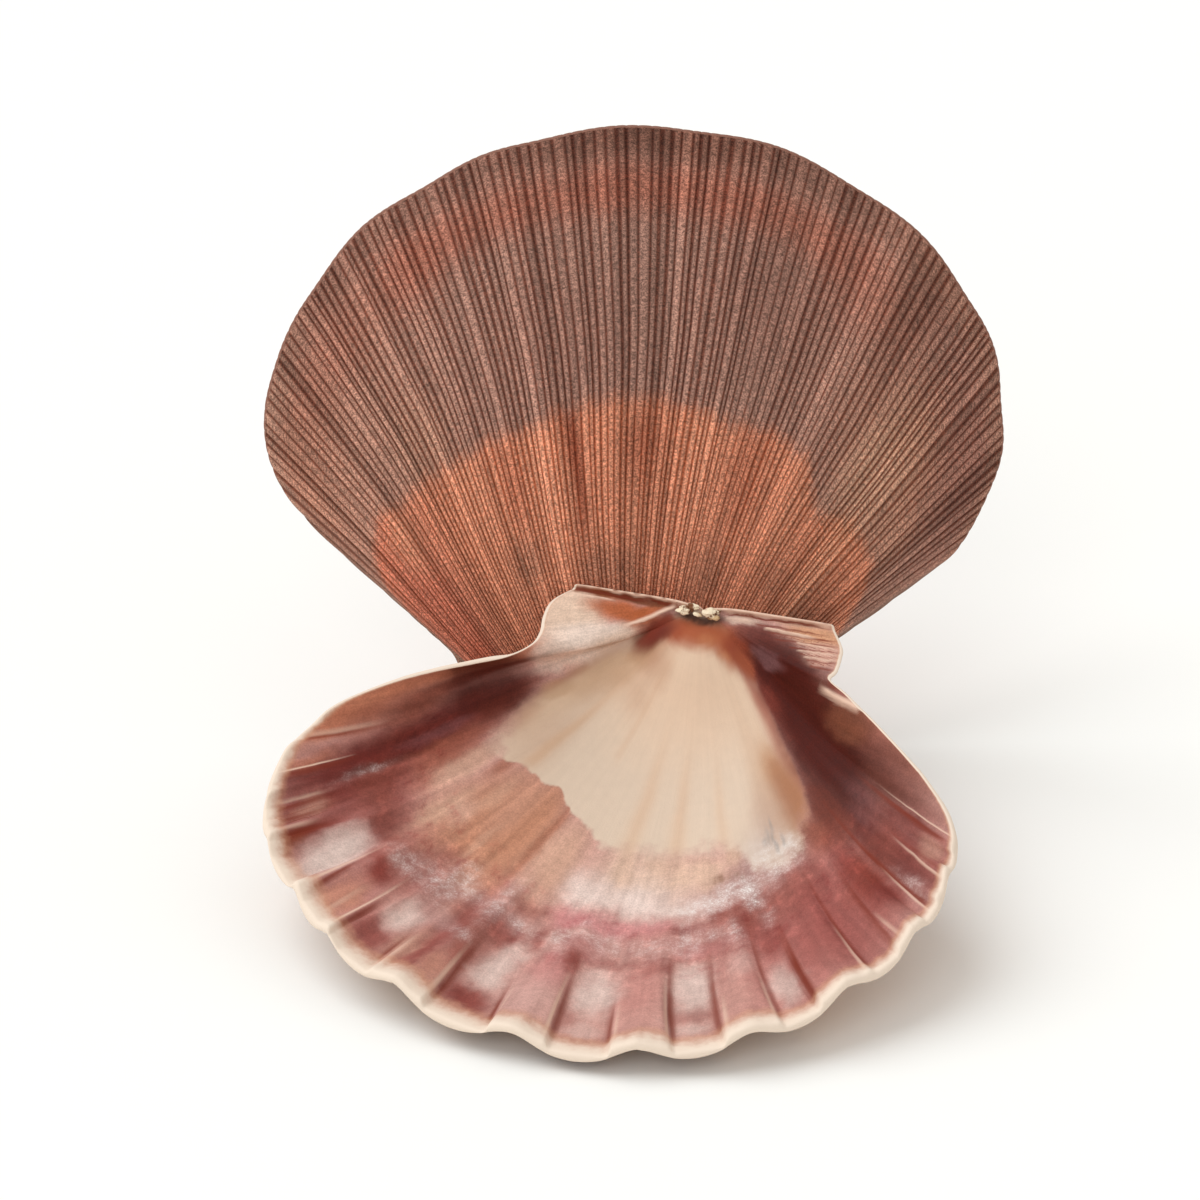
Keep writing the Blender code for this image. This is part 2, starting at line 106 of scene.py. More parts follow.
# patches are (fan angle, growth, half width in degrees, half length in growth, strength)
LYING_PATCHES = [
    ("b0726a", (30, 82, 9, 20, 80), (-30, 84, 8, 16, 70), (-21, 80, 6, 20, 30), (10, 82, 2.8, 13, 55),
     (20.5, 82, 2.4, 14, 60), (0, 79, 3, 6, 50), (17, 66, 9, 4, 60), (-15, 66, 5, 4, 60),
     (-40, 62, 3, 8, 80), (5, 64, 8, 3, 50), (-10, 60, 5, 3, 30)),
    ("934f49", (31, 76, 5.5, 16, 75), (36, 78, 5, 20, 80), (25.5, 68, 3, 8, 70), (-42, 80, 7, 22, 90),
     (47.5, 82, 5, 25, 90), (-15, 84, 2.4, 13, 60)),
    ("c77f80", (3, 63.5, 6, 2.2, 65), (10, 62, 4, 1.6, 60), (-3, 64, 2.5, 3, 60), (-1, 78, 2.2, 6, 30),
     (18, 69, 4, 2, 35), (-17, 66, 3, 3, 40), (1.5, 70, 2.5, 2.5, 40)),
    ("863b34", (-27.5, 81.5, 2.6, 3, 95), (-15.2, 90, 1.5, 8, 75), (-15, 77, 2.6, 5, 90),
     (-21, 92, 2.7, 4.2, 80), (-8, 92, 3, 4.2, 90), (-9.5, 73.7, 3.4, 2.2, 85), (-4.6, 71, 1, 3.5, 70),
     (-8.5, 65.5, 2.8, 2, 70), (0.9, 74.5, 1.3, 3.5, 85), (5.5, 72.2, 3, 1.3, 50),
     (11.5, 73.5, 2.4, 2.5, 50), (15.3, 71.1, 2.4, 1.1, 60), (14.5, 63, 2, 1.1, 75),
     (20.5, 60.5, 2, 1.6, 85), (23.8, 64.5, 1.8, 4, 80), (27.5, 62.5, 1.8, 3.5, 80), (26, 72, 1.8, 4, 45),
     (5, 94.5, 2.4, 1.4, 45), (3, 89, 1.2, 3, 60), (15.5, 87.8, 1.8, 2.2, 55), (32, 65, 2.6, 5, 60),
     (-33, 76, 2.6, 2, 50), (40.8, 76, 2.6, 17, 95), (40.5, 57.5, 2, 3, 75), (-31.5, 76, 0.8, 2, 60),
     (35.5, 66, 1.8, 5, 40)),
    ("c2866e", (-27.2, 92, 1.8, 6, 75), (-12.5, 92, 1.2, 6, 60), (-16.8, 93, 0.9, 5, 40),
     (-38.5, 61, 3, 7, 50)),
    ("bb8469", (-27, 62, 6.5, 10, 75), (-18.5, 53, 4.9, 13, 100), (-24, 55, 8, 12, 85),
     (-18.5, 66, 4, 5, 60)),
    ("cda38b", (-32, 65, 1.6, 7, 75), (-9.5, 54, 4.5, 10, 80), (-37.5, 57, 2, 6, 60), (-28, 54, 1.5, 5, 40),
     (-22.5, 62, 0.8, 6, 40)),
    ("9b5a40", (-33.2, 50, 1.6, 3.5, 60), (-14.6, 52, 0.9, 11, 55), (-24, 66, 1, 4, 20)),
    ("d9c2b8", (-2.5, 56.5, 3.4, 4.5, 90), (7.5, 54, 4, 6, 90), (2.5, 55, 3, 6, 60),
     (-20.5, 82.8, 2, 4.5, 85), (-8, 83, 2.3, 4.2, 85), (-6.2, 77.5, 1.5, 3.5, 70), (4.9, 81, 2.2, 6, 80),
     (15.7, 79.5, 2, 6.5, 80), (25.7, 87, 1.6, 6, 65), (-33.2, 89, 2.1, 9, 100), (-34.8, 85, 1.8, 6, 60),
     (21.5, 77, 1.6, 4, 30), (15, 92.5, 1.8, 2, 50), (4.8, 92, 1.6, 1.8, 40), (13, 55, 5, 5, 50)),
    ("c4a087", (2.2, 50, 1.8, 6, 60), (9, 47.2, 3, 1.8, 60), (13.3, 52, 1.6, 6, 60), (18.5, 50, 3, 3.5, 60),
     (24, 47.5, 1.6, 4, 70)),
    ("65231d", (-45.5, 76, 2.4, 24, 95), (-48, 64, 4.5, 18, 95), (-41.2, 84, 1.4, 12, 70),
     (-37.2, 93.5, 1, 4.5, 60), (-37.6, 87, 0.7, 4, 40), (-34.8, 76.3, 1.7, 1.8, 85), (-43, 58, 1.2, 8, 50),
     (45.5, 74, 1.6, 22, 70), (51.2, 82, 0.9, 10, 70), (41, 84, 1.3, 8, 50), (-15, 75.5, 1.4, 2.5, 40),
     (-9.3, 93, 1.4, 3, 35)),
    ("4a150c", (51.8, 45, 8.4, 22, 100), (55, 28, 7, 18, 100), (48.5, 64, 4.4, 10, 60),
     (-47.5, 66, 1.8, 12, 50), (-43.8, 74, 0.7, 10, 60), (-51.5, 68, 1.6, 8, 40)),
    ("83595a", (51, 62, 2, 9, 35), (47.6, 68, 1.2, 6, 30), (-46, 64, 1.2, 8, 30), (-50.5, 52, 1.2, 5, 40)),
    ("b06a4c", (-55.5, 93, 4.4, 13, 90), (-51.5, 95, 1.6, 5, 60), (-47.8, 94, 0.8, 6, 50)),
    ("8f5140", (-53, 85, 3, 6, 60), (-40.3, 92, 0.9, 7, 50), (60, 90, 5, 24, 80)),
    ("7b4a40", (56.5, 80, 3.4, 20, 80)),
    ("6a2c1e", (62, 58, 5, 20, 90)),
    ("8f4a38", (39.6, 57.5, 2.6, 4.5, 90)),
    ("d9b9a2", (3, 49.5, 6, 4.5, 55), (15, 50.5, 8, 4.5, 65)),
    ("e6d2c8", (0, 56.5, 4, 3, 70), (8.5, 56, 5, 3, 75), (16, 57.5, 4, 2, 60), (29, 57.5, 3, 1.2, 50)),
    ("caa08c", (-37.5, 56, 2, 7, 60), (-35.5, 61, 2, 6, 40)),
    ("93523f", (-42.2, 60, 2.4, 10, 70)),
    ("7a3a2c", (-47.5, 50, 4, 6, 80)),
    ("6e3024", (43.6, 54, 2.2, 10, 85)),
    ("c9938a", (28, 57, 9, 3.5, 45)),
    ("8f554c", (-35.6, 73, 3, 5, 60)),
    ("9c655c", (-22, 75.5, 14, 4, 50), (-12, 82, 0.9, 6, 70), (-9, 70, 5, 3, 40)),
    ("9d5f55", (28, 64, 5, 3.5, 60), (33, 62, 4, 3, 60)),
    ("5a2a22", (55.5, 60, 3.2, 13, 70)),
    ("8a4a30", (-37, 95, 1, 3, 60)),
    # painted highlight along the ridge at -17 degrees
    ("bb8878", (-17.2, 90, 1.6, 7, 80), (-17.2, 76, 1.6, 3, 50)),
    ("a8685c", (-11.6, 83, 1.2, 6, 70)),
    ("b5867a", (-23.2, 83, 1.6, 4, 50), (19.5, 86, 1.8, 8, 20)),
    ("d0a094", (20, 86, 1.8, 8, 50), (7, 90, 8, 4, 30)),
    ("6f3c2f", (-54.5, 76, 4, 6, 90)),
    ("763c35", (-41, 76, 3, 5, 60), (-35.5, 74.5, 3, 3.5, 50)),
    ("96594f", (-27, 76, 5, 2.5, 50), (-23, 70, 2, 3, 40), (3, 70, 8, 2, 30)),
    ("764039", (50, 78, 6, 12, 50)),
    ("63352b", (55.5, 72, 3.5, 10, 70)),
    ("93564e", (30, 64, 8, 6, 60), (21, 62, 4, 2.5, 60), (19, 69, 3, 3, 40)),
    ("9c5f58", (-11, 80, 2, 5, 50), (-11, 72, 3, 3, 40), (-23, 77, 2.6, 6, 40), (-23, 69, 3, 3, 40)),
    ("d2b0a8", (-2, 88, 3, 6, 25), (-17, 79, 1.8, 3, 40)),
    ("8c4f48", (49, 90, 2, 4, 10)),
    ("7b3f34", (43, 61, 2.6, 5, 80)),
    ("4a1e17", (55.5, 58, 3.5, 10, 90)),
    ("c79d8a", (-29.5, 61.5, 2.2, 3.5, 70)),
    ("c9967f", (-23.5, 52, 2.6, 7, 50)),
    ("a88078", (27.5, 54.5, 8.5, 4, 80)),
    ("c9aa9e", (13.5, 55, 5, 2.5, 50), (0.5, 55, 3, 2, 30)),
    ("865042", (38.5, 55, 3, 3.5, 85)),
    ("6a3226", (43.6, 53, 2.8, 8, 80)),
    ("40140c", (51.5, 54, 6, 9, 60)),
    ("6a2a20", (49.5, 26, 2, 5, 70)),
    ("5c2016", (-54, 21.5, 3, 2.5, 80)),
    ("a86c50", (-47.5, 20, 2, 3, 70)),
    ("561c12", (-45.5, 13.5, 1.4, 2, 60)),
    ("84402f", (-53, 76, 4, 6, 40), (-41, 76, 4, 5, 35), (-26, 75, 9, 7, 20), (-11, 80, 2.6, 7, 35),
     (43, 76, 6, 6, 30), (23, 60, 8, 7, 20), (37, 56, 3, 3, 40)),
    # the spot at -17 degrees is more painted highlight on that ridge
    ("c79a86", (-41, 90, 1.6, 3, 40), (49, 92, 1.6, 4, 50), (-17, 89, 1.2, 3, 30)),
    ("8a6752", (19.6, 51.2, 0.5, 0.6, 60), (21, 51.6, 0.7, 0.7, 80), (22.6, 52.2, 0.5, 0.6, 70),
     (23.8, 53.4, 0.5, 0.8, 60), (24.6, 54.8, 0.4, 0.6, 50)),
]
# pale clouds with a grainy edge
LYING_CLOUDS = [
    (15.5, 58.5, 2.4, 1.8, 70), (21.6, 56, 2.4, 1.8, 100), (24.4, 57.8, 1.8, 1.6, 100),
    (26, 60.5, 1, 2, 95), (19, 57.5, 1.6, 2, 70), (29.5, 52.5, 3.4, 4, 50), (34.5, 53.5, 1.8, 3, 40),
    (31, 57.5, 2.4, 2, 40), (15.4, 66, 1.6, 2.6, 50), (19, 65.2, 1, 1.2, 50), (21.6, 67, 1.1, 2.6, 55),
    (4.2, 67.5, 2.6, 2.2, 40), (10.5, 68.2, 2.2, 2.2, 40), (-2, 70, 1.4, 2.6, 50), (-21, 73.5, 2.4, 3, 50),
    (-19.5, 69, 1.6, 2.5, 50), (-27.2, 76.8, 2.2, 1.4, 50), (-13.6, 79.7, 1.4, 1.3, 40),
    (-12.4, 70, 0.9, 4, 45), (-16.2, 70.3, 2, 1.3, 45), (-8.3, 70, 2, 1.2, 45), (-11.5, 65, 1, 3, 35),
    (26.8, 67, 0.8, 2, 30), (0.5, 66, 1, 2, 30), (-25, 74.5, 1.4, 1, 30), (-43.6, 79, 0.7, 4, 30),
    (44, 90, 0.7, 5, 40)]
# lines are (inner angle, growth, outer angle, growth, half width in degrees, strength); each is soft
# towards greater angles, or towards smaller ones if its half width is negative
LYING_DARK_LINES = [
    (-30.5, 80, -29.6, 98.5, 0.4, 80), (-24, 83, -23.7, 97.5, 0.36, 75),
    (-18.3, 84, -18.3, 97.5, -0.26, 70), (-10.9, 76, -10.6, 98.5, 0.34, 75),
    (-4.7, 82, -4.5, 98, -0.26, 85), (1.9, 72, 1.9, 97, 0.36, 70), (7.2, 82, 7.3, 96, -0.34, 75),
    (13.3, 68, 13.3, 97, 0.36, 80), (18.3, 66, 17.8, 96.5, -0.5, 75), (23.9, 62, 23.7, 95, 0.3, 60),
    (27.8, 68, 27.5, 96.5, -0.55, 90), (34.3, 60, 33.6, 96, 0.26, 60), (39, 65, 37.3, 98, -0.4, 60),
    (44.3, 50, 43.2, 96, 0.35, 85), (53.2, 60, 51.1, 95, -0.45, 80), (-41.8, 82, -42.4, 98, 0.4, 70),
    (-38, 82, -38.2, 98, 0.85, 95), (-46.4, 80, -46.8, 97, 0.5, 70), (-50.5, 78, -51.4, 97, 0.5, 60),
    (48.4, 72, 47.1, 97, 0.3, 40), (-40, 86, -40.4, 97, 0.3, 50)]
# painted highlights along the ridges beside the channels
LYING_HIGHLIGHT_LINES = [
    (-24.5, 78, -24.3, 98.5, -0.2, 75), (-11.4, 80, -11.2, 98.5, -0.24, 75),
    (-17.4, 85, -17.6, 98.5, 0.4, 60), (-4.1, 84, -4, 98, 0.2, 50), (1.4, 77, 1.3, 98.5, -0.2, 70),
    (7.8, 84, 7.9, 97, 0.2, 40), (12.9, 76, 12.85, 98.5, -0.2, 60), (18.9, 84, 18.4, 98, 0.24, 50),
    (23.5, 80, 23.2, 98.5, -0.2, 60), (33.8, 80, 33.15, 98.5, -0.2, 60), (38.4, 86, 38.2, 98, 0.2, 40),
    (43.6, 78, 42.8, 98.5, -0.16, 60), (47.8, 78, 46.4, 98.5, -0.16, 65), (53.6, 70, 51.8, 98.5, 0.12, 70),
    (-42.3, 85, -43, 98.5, -0.2, 40), (-38.7, 88, -38.9, 98.5, -0.3, 40),
    (-30.9, 78, -30.4, 98.5, -0.22, 65), (-46.9, 83, -47.4, 98.5, -0.14, 85),
    (-27, 86, -26.6, 98.5, 0.4, 30), (-50.9, 80, -52, 98.5, -0.4, 35)]
HEART_PATCHES = [
    ("c29068", (39.5, 46, 2.6, 9, 70), (37, 37, 2, 6, 50), (-33, 20, 6, 6, 30)),
    # the heart's tan, partly lightened as painted light on the left inner wall, which faces away from the
    # key light
    ("dcbb9a", (-43, 33, 6, 14, 60)),
    ("cbb094", (-30, 38, 1.6, 7, 40)),
    ("ac7752", (38.5, 47, 3, 10, 80)),
    ("c49a78", (34.5, 40, 3.4, 14, 50)),
    ("b87a64", (43, 36, 2.2, 12, 60), (45.5, 25, 2.2, 9, 75)),
    ("7e4030", (49.5, 24, 2.2, 8, 75), (46.5, 22, 2.2, 8, 35)),
    ("a06650", (-47.5, 39, 2.6, 10, 80), (43, 43, 2.2, 10, 80)),
    ("b07f66", (-42.5, 45, 3.5, 5, 60)),
    ("8a4a2e", (-50, 30, 3, 13, 65)),
    ("c0977a", (-33, 41, 6, 10, 40)),
    ("b6886c", (-28, 13, 12, 3.5, 80)),
    ("c7a084", (-12, 13, 6, 3, 50), (-20, 20, 8, 3, 50)),
    ("a06c4e", (38.5, 47.5, 2.8, 5.5, 80), (38.5, 40, 2.6, 6, 70)),
    ("b59786", (31, 49, 5, 5, 65), (33, 42, 3.5, 5, 50)),
    ("d6cdc6", (28.5, 49, 3, 4, 30), (33.5, 53, 2, 2, 50)),
    ("8f8a86", (31.4, 47.5, 0.4, 1.8, 50), (32.2, 50, 0.3, 3, 70), (33.7, 51, 0.3, 2, 60),
     (30.4, 47.8, 0.5, 0.8, 50), (32.6, 45.5, 0.3, 1.4, 50)),
]
HEART_STREAKS = [
    (-30, 20, -30, 45, 1.6, 45), (2, 20, 2, 47, 2.2, 35), (12, 22, 12, 46, 1.8, 35),
    (39, 22, 39, 50, 2, 50), (-12, 10, -12, 30, 1.4, 20), (22, 25, 22, 45, 1.4, 25)]

# patches on and near the hinge plate, as (x, y, half width, half length, strength, turn in degrees), in mm
HINGE_PATCHES = [
    ("dcbfa9", (-22, 6, 6.5, 7.5, 100)),
    ("e2cdbf", (-17, 9.3, 6, 2.6, 90, -20), (-12.5, 6.8, 4.5, 1.6, 80, -50),
     (-22, 13.5, 4.5, 1.2, 50, -45)),
    ("b8906f", (-12.5, 11, 9.5, 3.4, 55, -48), (-21.5, 18, 3, 1.2, 50, -40),
     (-8.5, 8.4, 3.4, 1.3, 70, -48)),
    ("a8572f", (-13, 3.2, 6.2, 2.1, 95, 4), (-8.5, 1.8, 3.5, 1, 90, -30)),
    ("a85a3a", (0.5, 4.8, 8.5, 2.5, 100), (6.8, 6.6, 2.6, 2.8, 90, 35)),
    ("c08058", (2.2, 5.6, 1.8, 1.4, 40), (5.4, 7.6, 1.2, 0.8, 50)),
    ("8f3d24", (-3.6, 4.6, 2, 1.8, 60), (7.2, 5.2, 2.2, 2.4, 80, 30), (9, 8.2, 1.2, 2.6, 80, -35)),
    # painted shadow below the ridge that runs from the pit down to the left
    ("6c2a1c", (-7.2, 5.6, 4.6, 2, 100, -48)),
    ("945044", (14.5, 15, 12, 1.6, 40, 48)),
    ("7a3226", (14.7, 13, 4, 1.6, 60, 48)),
    ("7a443c", (10.5, 3.7, 5, 1.9, 100, 12)),
    ("4a150c", (16, 8.4, 8.4, 4, 100, 26), (23.5, 19, 10.5, 4.8, 100, 52),
     (-31.5, 21.5, 6.5, 4.2, 85, -36)),
    ("7b5556", (12.9, 7, 3.2, 1, 70, 26)),
    ("9c5034", (8.7, 8.6, 0.9, 2.8, 75, -35)),
    ("c8936f", (20.5, 2.4, 6, 2, 90, 8)),
    ("c79886", (23, 6.4, 4, 2.2, 90, 12)),
    ("dabfae", (6.5, 1.3, 3.2, 0.8, 80)),
    ("7a4733", (29.5, 18.5, 5, 2, 80, 32)),
    ("8a4e30", (-15, 0.5, 8, 0.7, 100), (-6, 0.5, 3, 0.6, 90)),
    ("6b3b28", (-11, 0.5, 5, 0.6, 80)),
    ("a05234", (0.5, 3.4, 5.5, 1.6, 60)),
    ("4a2a20", (-0.3, 1.5, 3.9, 1, 95)),
    ("c9a58e", (7.5, 0.3, 3.5, 0.5, 80), (16, 0.3, 6, 0.5, 60)),
]
# strokes there, as (x, y, x, y, half width, strength)
# painted shade in the grooves and under the ridges of the hinge plate
HINGE_SHADE_STROKES = [
    (-23, 0.45, -9, 0.5, 0.26, 80), (-9, 0.4, -4.5, 0.5, 0.26, 80), (4, 0.35, 22, 0.4, 0.16, 90),
    (-5.2, 2, -10.6, 8.8, -0.8, 60), (9, 1.3, 22, 1.9, 0.2, 70), (12, 2.4, 24, 3.1, 0.28, 85),
    (13, 3.6, 24.5, 4.3, 0.2, 60), (16, 4.9, 25, 5.4, 0.2, 70), (18, 6.1, 25, 6.7, 0.18, 60),
    (19.5, 7.4, 25, 8, 0.2, 70), (20.5, 8.6, 24.8, 9.6, 0.3, 70), (24.4, 12, 31, 16.2, 0.3, 60)]
# painted highlights along the ridges and the lip of the hinge plate
HINGE_HIGHLIGHT_STROKES = [
    (-22.6, 1.5, -15, 1.45, 0.2, 90), (-4.8, 0.5, -12.6, 5.9, 0.34, 95), (11, 1.9, 20, 2.7, 0.25, 90),
    (4, 1, 9, 1.1, 0.3, 50), (17, 3.9, 24.5, 4.9, 0.2, 60), (17.5, 5.5, 25, 6.1, 0.2, 60),
    (19, 6.8, 25.2, 7.4, 0.2, 60), (31.4, 17.4, 23.2, 12.3, -0.42, 95), (-23, 0, 30, 0, 0.14, 95)]

# ---- outside of the standing valve: upper edge of its orange fan, and patches over the plain colours
ORANGE_EDGE = [
    (-60, 72), (-50, 69), (-45, 68.5), (-42, 68), (-40, 66.5), (-38, 64.5), (-35, 64), (-32, 63), (-28, 61),
    (-20, 60.2), (-15, 59.5), (-12, 59), (-10, 60), (-3, 60.5), (7, 60), (16, 59), (24, 60.5), (30, 60),
    (33, 57), (36, 55.5), (42, 60), (50, 63), (60, 63)]
STANDING_PATCHES = [
    ("7e594a", (34, 91, 4, 10, 60), (10, 97, 4, 2, 40), (34, 97.5, 4, 2, 40)),
    ("c99a86", (-37, 80, 11, 20, 70), (-46, 74, 8, 12, 70), (33, 70, 6, 8, 40)),
    ("b98670", (-47, 90, 8, 12, 70), (44, 72, 8, 12, 80)),
    ("96675a", (18, 78, 7, 9, 30), (-8, 72, 6, 8, 20), (35.5, 84, 2.6, 14, 30), (50, 90, 8, 10, 60)),
    ("bb7762", (-20, 90.5, 5, 4, 70), (-11, 90.5, 6, 3.6, 70), (0, 90.5, 7, 3.6, 85),
     (10, 90.5, 6, 3.6, 70), (18, 90, 5, 3.4, 60), (-22.5, 88, 3, 5, 40), (24, 90, 4, 4, 50),
     (-34, 90, 8, 6, 40), (28, 86, 4, 6, 40)),
    ("d8ac92", (41, 67, 5, 12, 95)),
    ("c79a84", (-30, 67, 4, 7, 80), (50, 68, 4, 6, 60)),
]
STANDING_LOW_PATCHES = [
    ("d07c66", (-46, 50, 9, 24, 80)),
    ("e9a384", (-15, 42, 8, 6, 60), (10, 42, 3, 5, 50)),
    ("f0ac8c", (-41, 62, 2.4, 6, 70), (-26.5, 56, 3, 7, 60), (-13.5, 50, 2.4, 10, 60), (12.5, 52, 2, 9, 50),
     (31, 50, 2, 8, 50)),
    ("a4533a", (-7.8, 53, 1.3, 10, 80), (3.5, 54, 2.4, 5, 50), (-19, 53, 1.6, 6, 40), (21, 53, 3, 8, 35)),
    ("f0b090", (42, 50, 2.6, 10, 90)),
    ("97705f", (-21, 42, 3.6, 3, 60), (-4, 38, 6, 2.5, 60), (20, 38.5, 5, 3, 40), (35.5, 43, 3, 3, 40),
     (48, 42, 6, 5, 50)),
    ("d29a7a", (38, 60, 6, 3, 80)),
    ("6f4638", (52, 45, 6, 8, 70), (43, 36, 5, 4, 60)),
    ("b0553c", (-47, 37, 5, 4, 60)),
]
# broad dark folds down the outside: (fan angle, half width, strength)
STANDING_FOLDS = [(2, 3.6, 24), (18.5, 4, 24), (34, 4, 10), (-6.5, 2.6, 12), (-38, 4, 14)]
FIELD_BROWN = "b38b7c"
BORDER_BROWN = "8a6051"
SIDE_TAN = "b98f7c"
ORANGE = "e69e7f"
FLANK_GREY = "9a7462"

# ---- the sides that the photo doesn't show
STANDING_HEART_EDGE = [
    (-60, 20), (-48, 36), (-38, 50), (-25, 48), (-10, 46), (0, 47), (14, 46), (26, 50), (36, 52), (46, 42),
    (56, 25), (64, 18)]
STANDING_INSIDE_PATCHES = [
    ("934f49", (-40, 78, 9, 22, 85), (40, 78, 9, 24, 85), (0, 93, 40, 3.5, 50)),
    ("863b34", (-30, 84, 3, 8, 70), (-14, 78, 3, 5, 70), (4, 80, 3, 5, 60), (22, 80, 3, 8, 70),
     (34, 70, 4, 6, 60)),
    ("d9c2b8", (-22, 83, 2.4, 6, 80), (-6, 84, 2.4, 5, 80), (12, 82, 2.6, 6, 80), (28, 86, 2, 5, 70)),
    ("5c2720", (-52, 50, 5, 22, 100), (57, 50, 6, 24, 100)),
]
STANDING_HINGE_PATCHES = [
    ("b4623f", (0, 4, 11, 2.6, 90), (-12, 3, 6, 2, 90), (12, 3, 6, 2, 90)),
    ("7a2f24", (-9, 5, 5, 1.4, 80, -28), (9, 5, 5, 1.4, 80, 28)),
    ("d9b79f", (-23, 6, 5, 6, 85), (23, 6, 5, 6, 85)),
]
LYING_OUTSIDE_EDGE = [(-60, 40), (-30, 46), (0, 43), (30, 47), (60, 40)]
LYING_OUTSIDE_PATCHES = [
    ("ffe2c2", (0, 75, 90, 40, 100)),
    ("e8a684", (0, 86, 40, 3, 50), (-40, 60, 10, 8, 40), (40, 62, 10, 8, 40)),
    ("ffe9cf", (0, 97, 90, 3, 100)),
]
LYING_OUTSIDE_LOW_PATCHES = [
    ("f0c4a4", (0, 25, 90, 25, 90)),
    ("c79a84", (-8, 34, 30, 3, 50)),
]

# shares of red, green and blue kept on the ridges, in the grooves and in the dark bands of growth
RIDGE_SHARE = (0.81, 0.76, 0.735)
# darker grooves, here and in the orange fan: partly their own colour and partly painted shade
GROOVE_SHARE = (0.43, 0.28, 0.24)
ORANGE_GROOVE_SHARE = (0.54, 0.36, 0.28)
BAND_SHARE = (0.8, 0.6, 0.62)
LIGHT_BAND = 1.45         # how much lighter the light bands are

# ---- shape, in millimetres or as a share of the growth
BEAK = 0.06               # growth at which the outside begins
INNER_BEAK = 0.005        # and the inside
WALL_BEAK = 2.4           # thickness of the wall at the beak
WALL_MARGIN = 1.5         # and at the margin
THIN_FLANK = 0.45         # share of the wall left at the flanks and ears
HINGE_FILL = 0.16         # growth up to which the inside is filled at the hinge
PIT_DEPTH = 1.4           # depth of the ligament's pit
HINGE_LIP = 0.55          # height of the thin lip along the hinge edge
HINGE_RELIEF = 0.22       # depth of the dark strokes on the hinge plate
RIM_DEPTH = 0.7           # how far the rounded rim stands out past the sheets
RIM_ROWS = 5
EAR_COLUMNS = 44
FLANK_COLUMNS = 40
RIBLET_HEIGHTS = 400      # how many heights are drawn before they repeat
NO_MARK = 6.0             # half widths from the nearest line, where there is none
MAP_SEAM = -0.8           # where the bake map ends below the hinge line
MAP_RIM_STEP = 0.006      # how far each row of the rim is spread out in it
MAP_MAIN = (0.5, 0.01, 0.62)      # middle, base and size of the main side in it
MAP_OTHER = (0.3, 0.645, 0.35)    # and of the other side
# (centre, half size) of the dried crumbs of ligament
LIGAMENT_CRUMBS = [((-2.9, 1.7, -0.5), (1.35, 0.95, 0.75)), ((-1.5, 1.0, -0.8), (1.2, 0.6, 0.6)),
                   ((-0.5, 2.1, -0.2), (0.75, 0.45, 0.35)), ((1.5, 1.7, -0.6), (1.2, 1.0, 0.95)),
                   ((2.6, 2.2, -0.3), (0.85, 0.65, 0.55))]
LIGAMENT_GRAINS = 14


def ease(low, high, value):
    t = np.clip((value - low) / (high - low), 0.0, 1.0)
    return t * t * (3.0 - 2.0 * t)


def bell(value, width=1.0):
    return np.exp(-(value / width) ** 2)


def unit(vectors):
    return vectors / (np.linalg.norm(vectors, axis=-1, keepdims=True) + 1e-9)


def fan_angle(x, y):
    return np.degrees(np.arctan2(x, y))


def soft_noise(u, v, seed):
    """Smooth seeded noise between about -1 and 1, with cells one unit wide."""
    table = np.random.default_rng(seed).uniform(-1.0, 1.0, (97, 89))
    total = 0.0
    for octave, share in ((1.0, 0.65), (2.3, 0.35)):
        a = u * octave + 31.7
        b = v * octave + 17.3
        i = np.floor(a).astype(int)
        j = np.floor(b).astype(int)
        s = ease(0.0, 1.0, a - i)
        t = ease(0.0, 1.0, b - j)
        low = table[i % 97, j % 89] * (1 - s) + table[(i + 1) % 97, j % 89] * s
        high = table[i % 97, (j + 1) % 89] * (1 - s) + table[(i + 1) % 97, (j + 1) % 89] * s
        total = total + share * (low * (1 - t) + high * t)
    return total * 1.4


# ---- shape of a valve
def rounded_line(points, steps=24):
    """Smooth line through the points as a dense row of points."""
    p = np.array(points, float)
    p = np.vstack([2 * p[0] - p[1], p, 2 * p[-1] - p[-2]])
    t = (np.arange(steps) / steps)[:, None]
    rows = []
    for a, b, c, d in zip(p[:-3], p[1:-2], p[2:-1], p[3:]):
        rows.append(b + 0.5 * (t * (c - a) + t ** 2 * (2 * a - 5 * b + 4 * c - d)
                               + t ** 3 * (3 * b - a - 3 * c + d)))
    return np.vstack(rows + [p[-2:-1]])


def margin_line(valve):
    """Dense points of the free margin: run along it, place, fan angle and broad rib height."""
    bend = np.radians([angle for angle, _ in valve["fan"]])
    reach = np.array([distance for _, distance in valve["fan"]])
    disc = list(zip(reach * np.sin(bend), reach * np.cos(bend)))
    line = rounded_line(valve["ear_left"] + valve["flank_left"] + disc + valve["flank_right"]
                        + valve["ear_right"])
    run = np.concatenate([[0.0], np.cumsum(np.linalg.norm(np.diff(line, axis=0), axis=1))])
    angle = fan_angle(line[:, 0], line[:, 1])
    groove = np.interp(valve["grooves"], angle, run)
    rib = np.clip(np.searchsorted(groove, run, side="right") - 1, 0, len(groove) - 2)
    width = groove[rib + 1] - groove[rib]
    phase = (run - groove[rib]) / width
    to_groove = np.minimum(np.abs(phase), np.abs(1.0 - phase))
    beyond = (run < groove[0]) | (run > groove[-1])
    wave = np.where(beyond, -bell(to_groove, 0.5), 1.0 - 2.0 * bell(to_groove, valve["groove_width"]))
    return {"run": run, "x": line[:, 0], "y": line[:, 1], "angle": angle,
            "wave": wave * np.clip(width / 20.0, 0.35, 1.0)}


